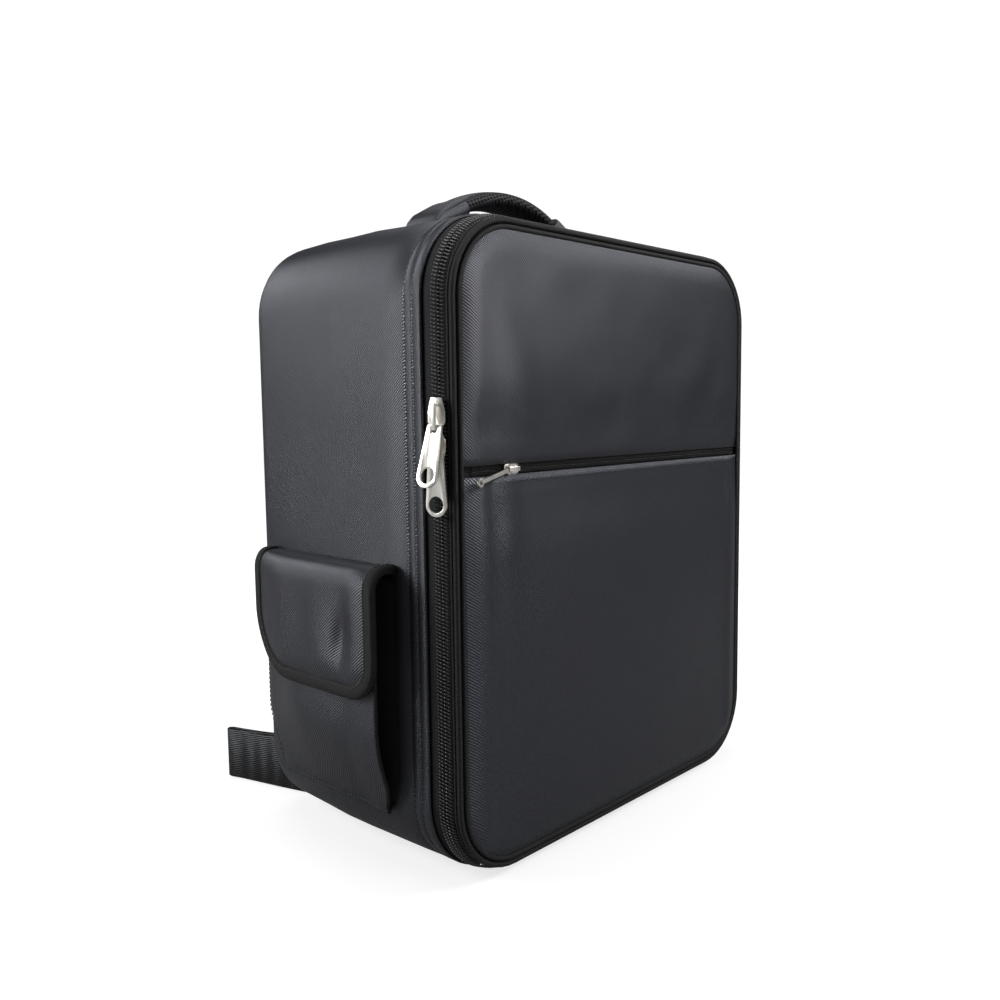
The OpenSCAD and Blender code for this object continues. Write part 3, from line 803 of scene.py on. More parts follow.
def add_stage():
    """The white surroundings that the case stands in."""
    deselect()
    bpy.ops.mesh.primitive_plane_add(size=12, location=(0, 0, -0.0006))
    ground = named("studio_floor")
    ground.data.materials.append(floor_material())
    world = bpy.context.scene.world or bpy.data.worlds.new("studio_sky")
    bpy.context.scene.world = world
    world.use_nodes = True
    tree = world.node_tree
    sky = next(n for n in tree.nodes if n.type == "BACKGROUND")
    sky.inputs["Color"].default_value = (1, 1, 1, 1)
    tree.links.new(sum_of(tree, "ADD", camera_only(tree, 1.0), 0.07), sky.inputs["Strength"])
    add_lamp("soft_top", (-0.1, 0.1, 2.0), (0, 0, 0.4), (1.2, 1.2), 20)
    add_lamp("soft_right_front", (1.40, -1.40, 1.72), (0.1, -0.1, 0.45), (1.1, 0.7), 54)
    add_lamp("soft_front", (0.25, -1.9, 0.65), (-0.17, -0.11, 0.22), (0.25, 1.2), 8)
    add_lamp("soft_left_rear", (-1.6, 1.35, 1.10), (-0.19, 0, 0.28), (0.9, 1.2), 53)
    bpy.context.scene.view_settings.view_transform = "Standard"


add_camera()
add_stage()


# ---------------------------------------------------------------- small pieces that repeat

def make_stitch(length=0.0026, width=0.0007):
    """One stitch: a short rounded bar of thread."""
    deselect()
    bpy.ops.mesh.primitive_uv_sphere_add(segments=6, ring_count=4, radius=0.5, location=(0, 0, 0))
    bpy.context.object.scale = (length, width, width)
    return named("stitch")


def make_tooth(size=1.0):
    """One loop of the coil: a bar across the chain with a groove for its sewing thread."""
    stations = [(-2.6, 0.3, 0.42), (-2.2, 1.35, 0.56), (-0.9, 1.85, 0.6), (0.0, 1.35, 0.46),
                (0.9, 1.85, 0.6), (2.5, 1.75, 0.62), (3.1, 1.3, 0.45)]
    rings = []
    for across, high, radius in stations:
        centre = Vector((across * 0.28, across, high)) * MM * size
        rings.append(oval(centre, (1, 0, 0), (0, 0.25, 1), radius * MM * size, radius * MM * size, 6, 2))
    return smooth(drawn("tooth", rings))


def stitches_round(name, out, forward, body, pitch=0.0037):
    """A row of stitches that follows the case's outline."""
    piece = make_stitch()
    row = repeated(name, piece, ring_places(out, forward, pitch, full=False))
    away(piece)
    return fit(row, body, THREAD)


def loop_lines(corners):
    """The lines round a closed outline."""
    return list(zip(corners, corners[1:] + corners[:1]))


def stitches_along(name, body, lines, up, pitch=0.0037):
    """Stitch rows on a flat face. lines holds (start, end) pairs."""
    piece = make_stitch()
    places = []
    for start, end in lines:
        places += line_places(start, end, pitch, up)
    row = repeated(name, piece, places)
    away(piece)
    return fit(row, body, THREAD)


# ---------------------------------------------------------------- shell

def rear_arc(radius, steps=5):
    """Profile points round the edge between the sides and the back."""
    centre_out, centre_forward = -REAR_R, -BACK + REAR_R
    angles = [-math.pi / 2 * i / steps for i in range(steps + 1)]
    return [(centre_out + radius * math.cos(a), centre_forward + radius * math.sin(a)) for a in angles]


def soft_step(value):
    """Ease from 0 to 1, level at both ends."""
    value = min(max(value, 0.0), 1.0)
    return value * value * (3 - 2 * value)


def add_shell():
    """The padded walls: a hem with two sewn rows, crowned sides and a round rear edge."""
    hem = [(-0.0016, HEM - 0.0010), (-0.0002, HEM + 0.0002), (0.0007, HEM - 0.0012), (0.0007, HEM - 0.0076),
           (-0.0004, 0.0800), (0.0006, HEM - 0.0098), (0.0006, 0.0734), (-0.0004, 0.0720), (0.0006, 0.0706)]
    side = [(0.0012, 0.052), (0.0018, 0.026), (0.0021, 0.0), (0.0018, -0.030), (0.0012, -0.060)]
    rear = rear_arc(REAR_R)
    seam = [(-0.0186, -BACK + 0.0003), (-0.0190, -BACK + 0.0014)]
    shell = swept("shell_skin", hem + side + rear + seam, closed=False, full=True, turn=14, straight=26)
    calm = lambda co: soft_step((0.066 + co.y) / 0.03) * soft_step((BACK - 0.012 - co.y) / 0.02)
    rumple(shell, 0.085, 0.0022, calm)
    rumple(shell, 0.034, 0.0007, calm)
    shape(shell, lambda co: Vector((co.x, co.y, max(co.z, 0.0004))))
    thick(shell, 0.0012)
    fit(smooth(shell), "case", NYLON, "gusset_panel", "base_panel")
    stitches_round("hem_stitches_front", 0.0, 0.0800, "case")
    stitches_round("hem_stitches_rear", 0.0, 0.0720, "case")


def round_corner(x, z, half_w, low, high, radius_low, radius_high):
    """Where a point of a rectangular grid lies once the grid's corners are round."""
    for radius, centre_z, sign in ((radius_low, low + radius_low, -1), (radius_high, high - radius_high, 1)):
        if not radius:
            continue
        a = (abs(x) - (half_w - radius)) / radius
        b = sign * (z - centre_z) / radius
        if a > 0 and b > 0:
            a, b = min(a, 1), min(b, 1)
            new_x = half_w - radius + radius * a * math.sqrt(1 - b * b / 2)
            return math.copysign(new_x, x), centre_z + sign * radius * b * math.sqrt(1 - a * a / 2)
    return x, z


def from_edge(x, z, half_w, low, high, radius_low, radius_high):
    """How far inside the rounded outline a point lies."""
    upper = z > (low + high) / 2
    radius = radius_high if upper else radius_low
    away_x = abs(x) - (half_w - radius)
    away_z = z - (high - radius) if upper else (low + radius) - z
    if radius and away_x > 0 and away_z > 0:
        return radius - math.hypot(away_x, away_z)
    return min(half_w - abs(x), high - z if upper else z - low)


def rounded_sheet(name, half_w, low, high, radius_low, radius_high, y, cell=0.008, facing="front",
                  depth=None):
    """An upright cloth panel with round corners. depth(x, z, edge) moves it along Y."""
    columns = max(4, round(2 * half_w / cell))
    rows = max(4, round((high - low) / cell))
    panel = grid(name, (0, y, (low + high) / 2), 2 * half_w, high - low, columns, rows, facing)
    outline = (half_w, low, high, radius_low, radius_high)

    def place(co):
        x, z = round_corner(co.x, co.z, *outline)
        along = depth(x, z, from_edge(x, z, *outline)) if depth else 0
        return Vector((x, co.y + along, z))
    return shape(panel, place)


def pillow(edge, width):
    """Rises steeply from an edge and levels off."""
    rest = 1 - min(max(edge / width, 0), 1)
    return 1 - rest * rest


def add_back():
    """The cloth of the back wall, with a shallow channel down the middle."""
    def swell(x, _, edge):
        channel = math.exp(-(x / 0.010) ** 2) * 0.8
        return (1.6 * pillow(edge, 0.02) - channel) * MM
    inset = REAR_R + 0.0006
    back = rounded_sheet("back_wall", SIDE - inset, inset, TOP - inset, CORNER - inset, CORNER - inset,
                         BACK - 0.0012, 0.010, "back", swell)
    thick(back, 0.0014)
    fit(smooth(back), "case", NYLON, "back_panel")


# ---------------------------------------------------------------- main zip

def keep(node, finish):
    """A plain node whose shape is right keeps it, with a better finish."""
    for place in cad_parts[node].material_slots:
        place.material = finish[1]


def add_main_zip():
    """The two rows of teeth and the tapes of the zip round the door."""
    tooth = make_tooth()
    out, forward = band(0.0001, CASE_COIL_S)
    case_row = repeated("case_coil_teeth", tooth, ring_places(out, forward, TOOTH_PITCH, BAND_TILT))
    fit(case_row, "case", COIL, "case_zip_coil")
    shape(tooth, lambda co: Vector((-co.x, -co.y, co.z)))
    out, forward = band(0.0001, DOOR_COIL_S)
    places = ring_places(out, forward, TOOTH_PITCH, BAND_TILT, TOOTH_PITCH / 2)
    fit(repeated("door_coil_teeth", tooth, places), "door", COIL, "door_zip_coil")
    away(tooth)
    keep("case_zip_tape", TAPE)
    keep("door_zip_tape", TAPE)
    strip = [band(0.0, 0.0184), band(0.0010, 0.0186), band(0.0014, 0.0200), (-0.0049, 0.1090),
             (-0.0064, 0.1084)]
    fit(swept("door_edge_trim", strip, turn=12, straight=6), "door", BINDING, "door_edge_strip")


def add_hinge_strip():
    """The cloth hinge along the bottom edge. Its front part turns up."""
    low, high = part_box("door_hinge_strip")
    strip = grid("hinge_cloth", (low + high) / 2, high.x - low.x, high.y - low.y, 40, 16, "up")
    flat_share = 0.70
    middle = low.z + 0.0010

    def lay(co):
        share = (high.y - co.y) / (high.y - low.y)
        if share < flat_share:
            ripple = 0.0004 * math.sin(co.x * 90)
            return Vector((co.x, high.y + (low.y - high.y) * share / flat_share, middle + ripple))
        rise = (share - flat_share) / (1 - flat_share)
        forward = 0.0030 * math.sin(rise * math.pi / 2)
        return Vector((co.x, low.y - forward, middle + 0.0072 * rise ** 1.6))
    shape(strip, lay)
    thick(strip, 0.0012, 0)
    smooth(strip)
    fit_bent(strip, "case", "door", (0, high.y, 0), (0, low.y, 0), NYLON, "door_hinge_strip")


# ---------------------------------------------------------------- door

def upper_depth(x, z, edge):
    """The upper front panel: crowned at the piping, flat at its lower lip, with slow waves."""
    fullness = 3.2 + 2.0 * soft_step((z - 0.300) / 0.05)
    crown = fullness * pillow(edge if z > 0.32 else min(PANEL_HALF - abs(x), 1), 0.019)
    lip = 0.9 * math.exp(-((z - 0.293) / 0.004) ** 2)
    wave = 2.2 * math.exp(-((x + 0.128 + 0.25 * (z - 0.35)) / 0.020) ** 2 - ((z - 0.350) / 0.055) ** 2)
    dip = 1.2 * math.exp(-((x + 0.020) / 0.03) ** 2 - ((z - 0.315) / 0.03) ** 2)
    slow = 1.5 * noise.noise(Vector((x, 0, z)) / 0.09) + 0.5 * noise.noise(Vector((x, 5, z)) / 0.035)
    hollow = 2.0 * math.exp(-((x - 0.120 - 0.4 * (z - 0.33)) / 0.024) ** 2 - ((z - 0.330) / 0.045) ** 2)
    return -(crown - lip + wave - hollow - dip + slow * soft_step(edge / 0.03)) * MM


def pocket_depth(x, z, edge):
    """The pocket panel: a steep rise beside the piping, a soft upright fold and a flat middle."""
    side_edge = PANEL_HALF - abs(x)
    fullness = 3.4 + 2.0 * soft_step((0.275 - z) / 0.05)
    crown = fullness * pillow(edge if z < 0.25 else side_edge, 0.019)
    fold = 1.1 * math.exp(-((side_edge - 0.019) / 0.006) ** 2) * (1 - soft_step((0.03 - z) / 0.03))
    hem = 0.7 * math.exp(-((z - 0.279) / 0.003) ** 2)
    pucker = 0.5 * math.sin(x * 420) * math.exp(-((x + 0.155) / 0.02) ** 2 - ((z - 0.276) / 0.008) ** 2)
    slow = 1.2 * noise.noise(Vector((x, 3, z)) / 0.11) + 0.35 * noise.noise(Vector((x, 8, z)) / 0.035)
    drape = 1.3 * math.exp(-((x + 0.136) / 0.010) ** 2) * soft_step((z - 0.14) / 0.10)
    return -(crown + fold + drape - hem + pucker + slow * soft_step(edge / 0.03)) * MM


def add_door_panels():
    """The door's upper panel and its pocket panel, with the stitches of the pocket's hem."""
    upper = rounded_sheet("front_upper_cloth", PANEL_HALF, 0.2905, TOP - PANEL_IN, 0, PANEL_R,
                          -0.1106, 0.005, "front", upper_depth)
    thick(upper, 0.0018)
    fit(smooth(upper), "door", NYLON, "door_upper_panel")
    pocket = rounded_sheet("front_pocket_cloth", PANEL_HALF, PANEL_IN, 0.2830, PANEL_R, 0,
                           -0.1106, 0.005, "front", pocket_depth)
    thick(pocket, 0.0018)
    fit(smooth(pocket), "door", NYLON, "door_pocket_panel")
    row = [((-0.176, -0.1136, 0.2785), (0.176, -0.1136, 0.2785))]
    stitches_along("pocket_hem_stitches", "door", row, (0, -1, 0))


def add_door_piping():
    """Two covered cords round the door: the outer one at its edge, the inner one at the panels."""
    outer = swept("door_edge_cord", rope((-0.0068, 0.1106), 0.0022, 12), full=True, turn=12, straight=6)
    fit(outer, "door", BINDING, "door_piping")
    inner = swept("door_panel_cord", rope((-0.0113, 0.1117), 0.0019, 12), full=True, turn=12, straight=6)
    fit(inner, "door", BINDING)
    web = [(-0.0070, 0.1072), (-0.0060, 0.1092), (-0.0115, 0.1102), (-0.0190, 0.1060), (-0.0190, 0.1045)]
    fit(swept("door_inner_binding", web, full=True, turn=12, straight=4), "door", BINDING)


def add_pocket_zip():
    """The front pocket's zip: two rows of teeth on one tape."""
    keep("pocket_zip_tape", TAPE)
    tooth = make_tooth(0.56)
    places = []
    for side in (1, -1):
        z = POCKET_ZIP_Z + side * 0.0019
        start, end = (-0.168, -0.1101, z), (0.168, -0.1101, z)
        row = line_places(start, end, 0.0014, (0, -1, 0))
        flip = Matrix.Rotation(math.pi, 4, "Z") if side > 0 else Matrix.Identity(4)
        slip = Matrix.Translation((0.0007 if side > 0 else 0, 0, 0))
        places += [place @ slip @ flip for place in row]
    fit(repeated("pocket_coil_teeth", tooth, places), "door", COIL, "pocket_zip_coil")
    away(tooth)


def add_sliders():
    """The metal sliders and their pulls."""
    for node, edge in (("upper_slider", 0.0004), ("upper_pull", 0.0003), ("lower_slider", 0.0004),
                       ("lower_pull", 0.0003), ("front_slider", 0.0002), ("front_pull", 0.0002)):
        fit(copied_node(node + "_metal", node, edge), node, NICKEL, node)


add_shell()
add_back()
add_main_zip()
add_hinge_strip()
add_door_panels()
add_door_piping()
add_pocket_zip()
add_sliders()


# ---------------------------------------------------------------- side pockets

POCKET_LOW, POCKET_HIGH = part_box("left_pocket")
POCKET_OUT = -POCKET_LOW.x - SIDE
POCKET_TAPER = 0.112


def pocket_out(z):
    """How far the pocket stands out from the shell at a height: full at the top, closed at the bottom."""
    share = (z - POCKET_LOW.z) / (POCKET_TAPER - POCKET_LOW.z)
    return 0.0012 + (POCKET_OUT - 0.0012) * math.sin(min(max(share, 0), 1) * math.pi / 2)


def wedge(y):
    """The pocket stands out most at its front gusset and lies nearly flat at the rear."""
    return 1 - 0.62 * soft_step((y - 0.028) / 0.070)


def pocket_front(z):
    """The y of the side pocket's front edge at height z, drawn in near the bottom."""
    return POCKET_LOW.y + 0.010 * (1 - soft_step((z - POCKET_LOW.z) / 0.026))


def pocket_rear(z):
    """The y of the side pocket's rear edge at height z, drawn in near the bottom."""
    return POCKET_HIGH.y - 0.018 * (1 - soft_step((z - POCKET_LOW.z) / 0.054))


def add_left_pocket():
    """The outer cloth of the pocket, which turns in at the rear, and the folded gusset in front, in the black
    binding finish: partly its own dark cloth, partly painted shade of the fold's deep interior.
    """
    low, high = POCKET_LOW, POCKET_HIGH
    panel = grid("left_pocket_cloth", (-SIDE, (low.y + high.y) / 2, (low.z + high.z) / 2),
                 high.y - low.y, high.z - low.z, 34, 36, "left")

    def stand_off(co):
        share = (co.y - low.y) / (high.y - low.y)
        front, rear = pocket_front(co.z), pocket_rear(co.z)
        y = front + share * (rear - front)
        turned = math.sqrt(max(0.0, 1 - (1 - min((rear - y) / 0.014, 1)) ** 2))
        out = pocket_out(co.z) * turned * wedge(y)
        slump = 1.5 * math.exp(-((y - 0.020) / 0.05) ** 2 - ((co.z - 0.105) / 0.03) ** 2)
        crease = 1.0 * math.exp(-((y + 0.022) / 0.010) ** 2) * soft_step((0.15 - co.z) / 0.05)
        edge = soft_step((y - front) / 0.02) * soft_step((rear - y) / 0.03)
        return Vector((-SIDE - max(out, 0.0008) - (slump - crease) * MM * edge * turned, y, co.z))
    shape(panel, stand_off)
    thick(rounded(panel), 0.0014)
    fit(smooth(panel), "case", NYLON, "left_pocket")

    gusset = grid("left_pocket_gusset", (-SIDE, low.y, (low.z + high.z) / 2), 1.0, high.z - low.z, 10, 34,
                  "front")

    def bellows(co):
        share = co.x + SIDE + 0.5
        fold = 0.020 * (1 - abs(2 * share - 1)) * pocket_out(co.z) / POCKET_OUT
        drop = 0.004 * (2 * share - 1) ** 2 * soft_step((co.z - high.z + 0.02) / 0.02)
        x = -SIDE - pocket_out(co.z) * (1 - share)
        return Vector((x, pocket_front(co.z) + fold + 0.0006, co.z - drop))
    shape(gusset, bellows)
    thick(gusset, 0.0012, 0)
    # The gusset takes the black binding finish: partly the cloth's own dark colour, partly painted shade of
    # its deep fold.
    fit(smooth(gusset, 35), "case", BINDING)

    rim = [Vector((-SIDE - pocket_out(z) - 0.0006, pocket_front(z) - 0.0004, z))
           for z in [POCKET_LOW.z + 0.002 + i * 0.005 for i in range(34)]]
    rings = [oval(p, (1, 0, 0), (0, 1, 0), 0.0016, 0.0016, 8, 2) for p in rim]
    fit(smooth(drawn("left_pocket_edge_cord", rings)), "case", BINDING)


def add_pocket_stitches():
    """The pocket is sewn to the shell along its rear and bottom edges."""
    piece = make_stitch()
    points = [Vector((-SIDE - 0.0032, pocket_rear(z) - 0.0015, z))
              for z in [0.205 - i * 0.0037 for i in range(44)]]
    bottom = [Vector((-SIDE - 0.0030, y, POCKET_LOW.z + 0.0035))
              for y in [POCKET_LOW.y + 0.013 + i * 0.0037 for i in range(33)]]
    places = []
    for a, b in list(zip(points, points[1:])) + list(zip(bottom, bottom[1:])):
        places += line_places(a, b, 0.0037, (-1, 0, 0))
    row = repeated("left_pocket_stitches", piece, places)
    away(piece)
    return fit(row, "case", THREAD)


# ---------------------------------------------------------------- flaps, made flat and then hung

FLAP_LOW, FLAP_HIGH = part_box("left_flap_binding")
STRIP_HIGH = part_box("left_flap_top")[1]
FLAP_FRONT, FLAP_REAR = FLAP_LOW.y, FLAP_HIGH.y
FLAP_TOP_RUN = 0.0082
FLAP_BEND = 0.0140
FLAP_LENGTH = FLAP_TOP_RUN + FLAP_BEND * math.pi / 2 + (STRIP_HIGH.z - FLAP_BEND - FLAP_LOW.z)
FLAP_FRONT_R = 0.028
FLAP_REAR_R = 0.050


def hang(co):
    """Bends a point of the flat flap over the pocket's mouth. Flat, X is outwards, Y runs along the
    case and -Z is the way down the flap."""
    out, along, travel = co.x, co.y, -co.z
    start_x = -STRIP_HIGH.x
    top_z = STRIP_HIGH.z + 0.0004
    angle = min(max((travel - FLAP_TOP_RUN) / FLAP_BEND, 0.0), math.pi / 2)
    reach = FLAP_BEND + out
    away_x = min(travel, FLAP_TOP_RUN) + math.sin(angle) * reach
    down = max(travel - FLAP_TOP_RUN - FLAP_BEND * math.pi / 2, 0.0)
    narrow = 1 - 0.30 * soft_step((along - 0.040) / 0.055)
    return Vector((-start_x - away_x * narrow, along, top_z - FLAP_BEND + math.cos(angle) * reach - down))


def flap_corner(y, travel):
    """Rounds the flap's lower corners: the front one is tighter than the rear one."""
    for radius, edge, sign in ((FLAP_FRONT_R, FLAP_FRONT, -1), (FLAP_REAR_R, FLAP_REAR, 1)):
        a = (sign * (y - edge) + radius) / radius
        b = (travel - FLAP_LENGTH + radius) / radius
        if a > 0 and b > 0:
            a, b = min(a, 1), min(b, 1)
            return (edge - sign * radius + sign * radius * a * math.sqrt(1 - b * b / 2),
                    FLAP_LENGTH - radius + radius * b * math.sqrt(1 - a * a / 2))
    return y, travel


def flap_edge(y, travel):
    """How far inside the flap's outline a point lies."""
    for radius, edge, sign in ((FLAP_FRONT_R, FLAP_FRONT, -1), (FLAP_REAR_R, FLAP_REAR, 1)):
        a = sign * (y - edge) + radius
        b = travel - FLAP_LENGTH + radius
        if a > 0 and b > 0:
            return radius - math.hypot(a, b)
    return min(y - FLAP_FRONT, FLAP_REAR - y, FLAP_LENGTH - travel)


def flap_outline(inset):
    """Points round the flap's sides and bottom, from the shell down the front edge and up the rear."""
    front_r, rear_r = FLAP_FRONT_R - inset, FLAP_REAR_R - inset
    low = FLAP_LENGTH - inset
    points = [(FLAP_FRONT + inset, s) for s in spaced(0.0, FLAP_LENGTH - FLAP_FRONT_R, 24)]
    for i in range(1, 12):
        angle = math.pi / 2 * i / 12
        points.append((FLAP_FRONT + inset + front_r * (1 - math.cos(angle)),
                       low - front_r * (1 - math.sin(angle))))
    points += [(y, low) for y in spaced(FLAP_FRONT + FLAP_FRONT_R, FLAP_REAR - FLAP_REAR_R, 12)]
    for i in range(1, 16):
        angle = math.pi / 2 * i / 16
        points.append((FLAP_REAR - inset - rear_r * (1 - math.sin(angle)),
                       low - rear_r * (1 - math.cos(angle))))
    points += [(FLAP_REAR - inset, s) for s in spaced(FLAP_LENGTH - FLAP_REAR_R, 0.0, 20)]
    return points


def spaced(start, end, count):
    """Evenly spaced values from start to end, both included."""
    return [start + (end - start) * i / (count - 1) for i in range(count)]


def bend_with_flap(obj, side, *nodes):
    """Puts a hung piece's place into its mesh and hides the flap's plain nodes that it stands in for."""
    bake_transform(obj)
    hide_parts(*[side + "_" + node for node in nodes])
    return obj


def add_flap_cloth():
    """The flap's padded cloth, with a sunken seam inside its binding and the dents of long use."""
    sheet = grid("left_flap_cloth", (0, (FLAP_FRONT + FLAP_REAR) / 2, -FLAP_LENGTH / 2),
                 FLAP_REAR - FLAP_FRONT, FLAP_LENGTH, 56, 44, "left")

    def cut(co):
        y, travel = flap_corner(co.y, -co.z)
        return Vector((0, y, -travel))
    shape(sheet, cut)
    thick(sheet, 0.0034, 1)

    def fill(co):
        if co.x < -0.001:
            return co
        edge = flap_edge(co.y, -co.z)
        travel = -co.z
        crown = 2.2 * pillow(edge - 0.008, 0.016) if edge > 0.008 else 0
        dent = 3.4 * math.exp(-((co.y + 0.028 - 0.10 * (travel - 0.066)) / 0.0075) ** 2
                              - ((travel - 0.066) / 0.020) ** 2)
        roll = 1.6 * math.exp(-((co.y - 0.000) / 0.014) ** 2 - ((travel - 0.075) / 0.03) ** 2)
        slow = 0.8 * noise.noise(Vector((1, co.y, co.z)) / 0.04) * soft_step((edge - 0.01) / 0.02)
        beyond_seam = soft_step((travel - 0.003) / 0.018)
        rise = (crown - dent + roll + slow) * beyond_seam
        return Vector((co.x + rise * MM, co.y, co.z))
    shape(sheet, fill)
    return sheet


def add_flap_binding():
    """The folded tape sewn round the flap."""
    outline, inner = flap_outline(0.0), flap_outline(0.0095)
    rings = []
    for (y, s), (y_in, s_in) in zip(outline, inner):
        inward = Vector((0, y_in - y, s - s_in))
        inward = inward.normalized() if inward.length > 0.001 else Vector((0, 0, 1))
        edge = Vector((0, y, -s))
        section = [(9.4, 0.4), (8.8, 1.3), (5.0, 1.5), (1.2, 1.2), (-0.4, -0.2), (-0.8, -1.8),
                   (-0.4, -3.3), (1.2, -4.4), (8.8, -4.4), (9.4, -3.4)]
        rings.append([edge + inward * (w * MM) + Vector((n * MM, 0, 0)) for w, n in section])
    return drawn("left_flap_edge_tape", rings)


def add_flap_stitches():
    """The row of stitches inside the left flap's edge."""
    piece = make_stitch(0.0027, 0.0008)
    points = [Vector((0.0014, y, -s)) for y, s in flap_outline(0.0078)]
    places = []
    for a, b in zip(points, points[1:]):
        if (b - a).length > 0.001:
            places += line_places(a, b, 0.0038, (1, 0, 0))
    row = repeated("left_flap_stitches", piece, places)
    away(piece)
    return row


def add_flap_seam():
    """The cord where the flap is sewn to the shell."""
    rings = [oval((-SIDE - 0.0010, y, STRIP_HIGH.z - 0.0020), (1, 0, 0), (0, 0, 1), 0.0030, 0.0022, 10, 2)
             for y in spaced(FLAP_FRONT, FLAP_REAR, 16)]
    return smooth(drawn("left_flap_seam", rings))


def add_sides():
    """The left pocket and flap, and their mirror images on the right."""
    add_left_pocket()
    add_pocket_stitches()
    fit(add_flap_seam(), "case", BINDING)
    for name in ("pocket_cloth", "pocket_gusset", "pocket_edge_cord", "pocket_stitches", "flap_seam"):
        source = bpy.data.objects["left_" + name]
        finish = (source["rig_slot"], source.data.materials[0])
        twin = mirrored(source, "right_" + name)
        fit(twin, "case", finish, *(["right_pocket"] if name == "pocket_cloth" else []))
    for make, name, finish, nodes in ((add_flap_cloth, "flap_cloth", NYLON, ("flap_top", "flap")),
                                      (add_flap_binding, "flap_edge_tape", BINDING, ("flap_binding",)),
                                      (add_flap_stitches, "flap_stitches", THREAD, ())):
        piece = shape(make(), hang)
        if name == "flap_cloth":
            outwards(piece, 0.000001)
        smooth(piece)
        piece.data.materials.append(finish[1])
        twin = mirrored(piece, "right_" + name)
        for obj, side in ((piece, "left"), (twin, "right")):
            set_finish(obj, finish[0])
            bend_with_flap(obj, side, *nodes)
    for node in ("pocket_loop_patches", "left_flap_hook", "right_flap_hook"):
        keep(node, LOOP)


add_sides()


# ---------------------------------------------------------------- stuffing

def puffed(obj, pressure=4.0, cap=0.005, voxel=0.005):
    """Blows a closed form up like stuffing under its cover. No point moves further than the cap."""
    modify(obj, "REMESH", mode="VOXEL", voxel_size=voxel)
    before = [v.co.copy() for v in obj.data.vertices]
    only(obj)
    sim = obj.modifiers.new("cover", "CLOTH")
    sim.settings.use_pressure = True
    sim.settings.uniform_pressure_force = pressure
    sim.settings.effector_weights.gravity = 0
    sim.settings.quality = 5
    scene = bpy.context.scene
    for step in range(1, 21):
        scene.frame_set(step)
    bpy.ops.object.modifier_apply(modifier=sim.name)
    scene.frame_set(1)
    for vertex, start in zip(obj.data.vertices, before):
        moved = vertex.co - start
        if moved.length > cap:
            vertex.co = start + moved.normalized() * cap
    obj.data.update()
    return rounded(obj)


# ---------------------------------------------------------------- handle

HANDLE_Y = 0.020
ARC_Z = 0.383
ARC_R = 0.120
FOOT_X = 0.084


def arc_point(angle):
    """A point on the handle's arc, at an angle from its top."""
    return Vector((ARC_R * math.sin(angle), HANDLE_Y, ARC_Z + ARC_R * math.cos(angle)))


def add_handle():
    """The mesh-covered grip and its smooth upper cover."""
    angles = spaced(math.radians(-29.5), math.radians(29.5), 30)
    rings = []
    for angle in angles:
        up = Vector((math.sin(angle), 0, math.cos(angle)))
        full = 1 - 0.08 * (angle / angles[-1]) ** 2
        rings.append(oval(arc_point(angle), (0, 1, 0), up, 0.0188 * full, 0.0071 * full, 28, 2.5))
    grip = fit(smooth(drawn("handle_grip_mesh", rings)), "handle", MESH, "handle_grip", "handle_core")
    cover = []
    for angle in angles:
        up = Vector((math.sin(angle), 0, math.cos(angle)))
        centre = arc_point(angle)
        wall = [(math.radians(a), 0.0074, 0.0158) for a in spaced(8, 172, 12)]
        outer = [centre + Vector((0, 1, 0)) * (w * math.cos(a)) + up * (h * math.sin(a) ** 0.6)
                 for a, h, w in wall]
        inner = [centre + Vector((0, 1, 0)) * (w * 0.97 * math.cos(a)) + up * (0.0064 * math.sin(a) ** 0.6)
                 for a, h, w in reversed(wall)]
        cover.append(outer + inner)
    fit(smooth(drawn("handle_grip_cover", cover)), "handle", NYLON)


def add_sleeves():
    """Each sleeve rises from its patch and turns over onto the grip, with a slanted free edge.
    Its path holds (x, z, half width, half thickness) in millimetres."""
    path = [(84.5, 460.6, 18.6, 2.6), (86.8, 465.0, 19.2, 3.2), (87.0, 470.5, 19.6, 4.0),
            (84.2, 475.8, 19.9, 4.8), (78.8, 479.5, 20.1, 5.8), (71.8, 482.2, 20.3, 7.0),
            (64.8, 485.2, 20.3, 7.8), (59.0, 488.0, 20.3, 8.0), (55.0, 490.0, 20.0, 7.6)]
    path = [tuple(value * MM for value in station) for station in path]
    rings = []
    for index, (x, z, half_y, half_t) in enumerate(path):
        before, after = path[max(0, index - 1)], path[min(len(path) - 1, index + 1)]
        along = Vector((after[0] - before[0], 0, after[1] - before[1])).normalized()
        outer = Vector((along.z, 0, -along.x))
        ring = oval((x, HANDLE_Y, z), (0, 1, 0), outer, half_y, half_t, 28, 4.0)
        slant = 0.30 * soft_step((index - 6) / 3)
        ring = [p - along * slant * (p - Vector((x, HANDLE_Y, z))).dot(outer) for p in ring]
        rings.append(ring)
    right = smooth(drawn("sleeve_right", rings), 50)
    left = mirrored(right, "sleeve_left")
    sleeves = joined("handle_sleeve_cloth", [right, left])
    rumple(sleeves, 0.012, 0.0007)
    fit_bent(sleeves, "case", "handle", (0, HANDLE_Y, 0.4610), (0, HANDLE_Y, 0.4740), NYLON, "handle_sleeves")


def add_patches():
    """The sewn patches under the handle's feet."""
    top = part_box("handle_patches")[1].z
    half_y, seam = 0.021, 0.0025
    parts, lines = [], []
    for side in (-1, 1):
        left, right = side * FOOT_X - 0.022, side * FOOT_X + 0.016
        low, high = (left, HANDLE_Y - half_y, top - 0.0022), (right, HANDLE_Y + half_y, top + 0.0008)
        parts.append(box_piece("patch", low, high, 0.0007))
        front, rear = HANDLE_Y - half_y + seam, HANDLE_Y + half_y - seam
        z = top + 0.0009
        lines += loop_lines([(left + seam, front, z), (right - seam, front, z), (right - seam, rear, z),
                             (left + seam, rear, z)])
    fit(joined("handle_sewn_patches", parts), "case", NYLON, "handle_patches")
    stitches_along("handle_patch_stitches", "case", lines, (0, 0, 1), 0.0034)


# ---------------------------------------------------------------- back and shoulder straps

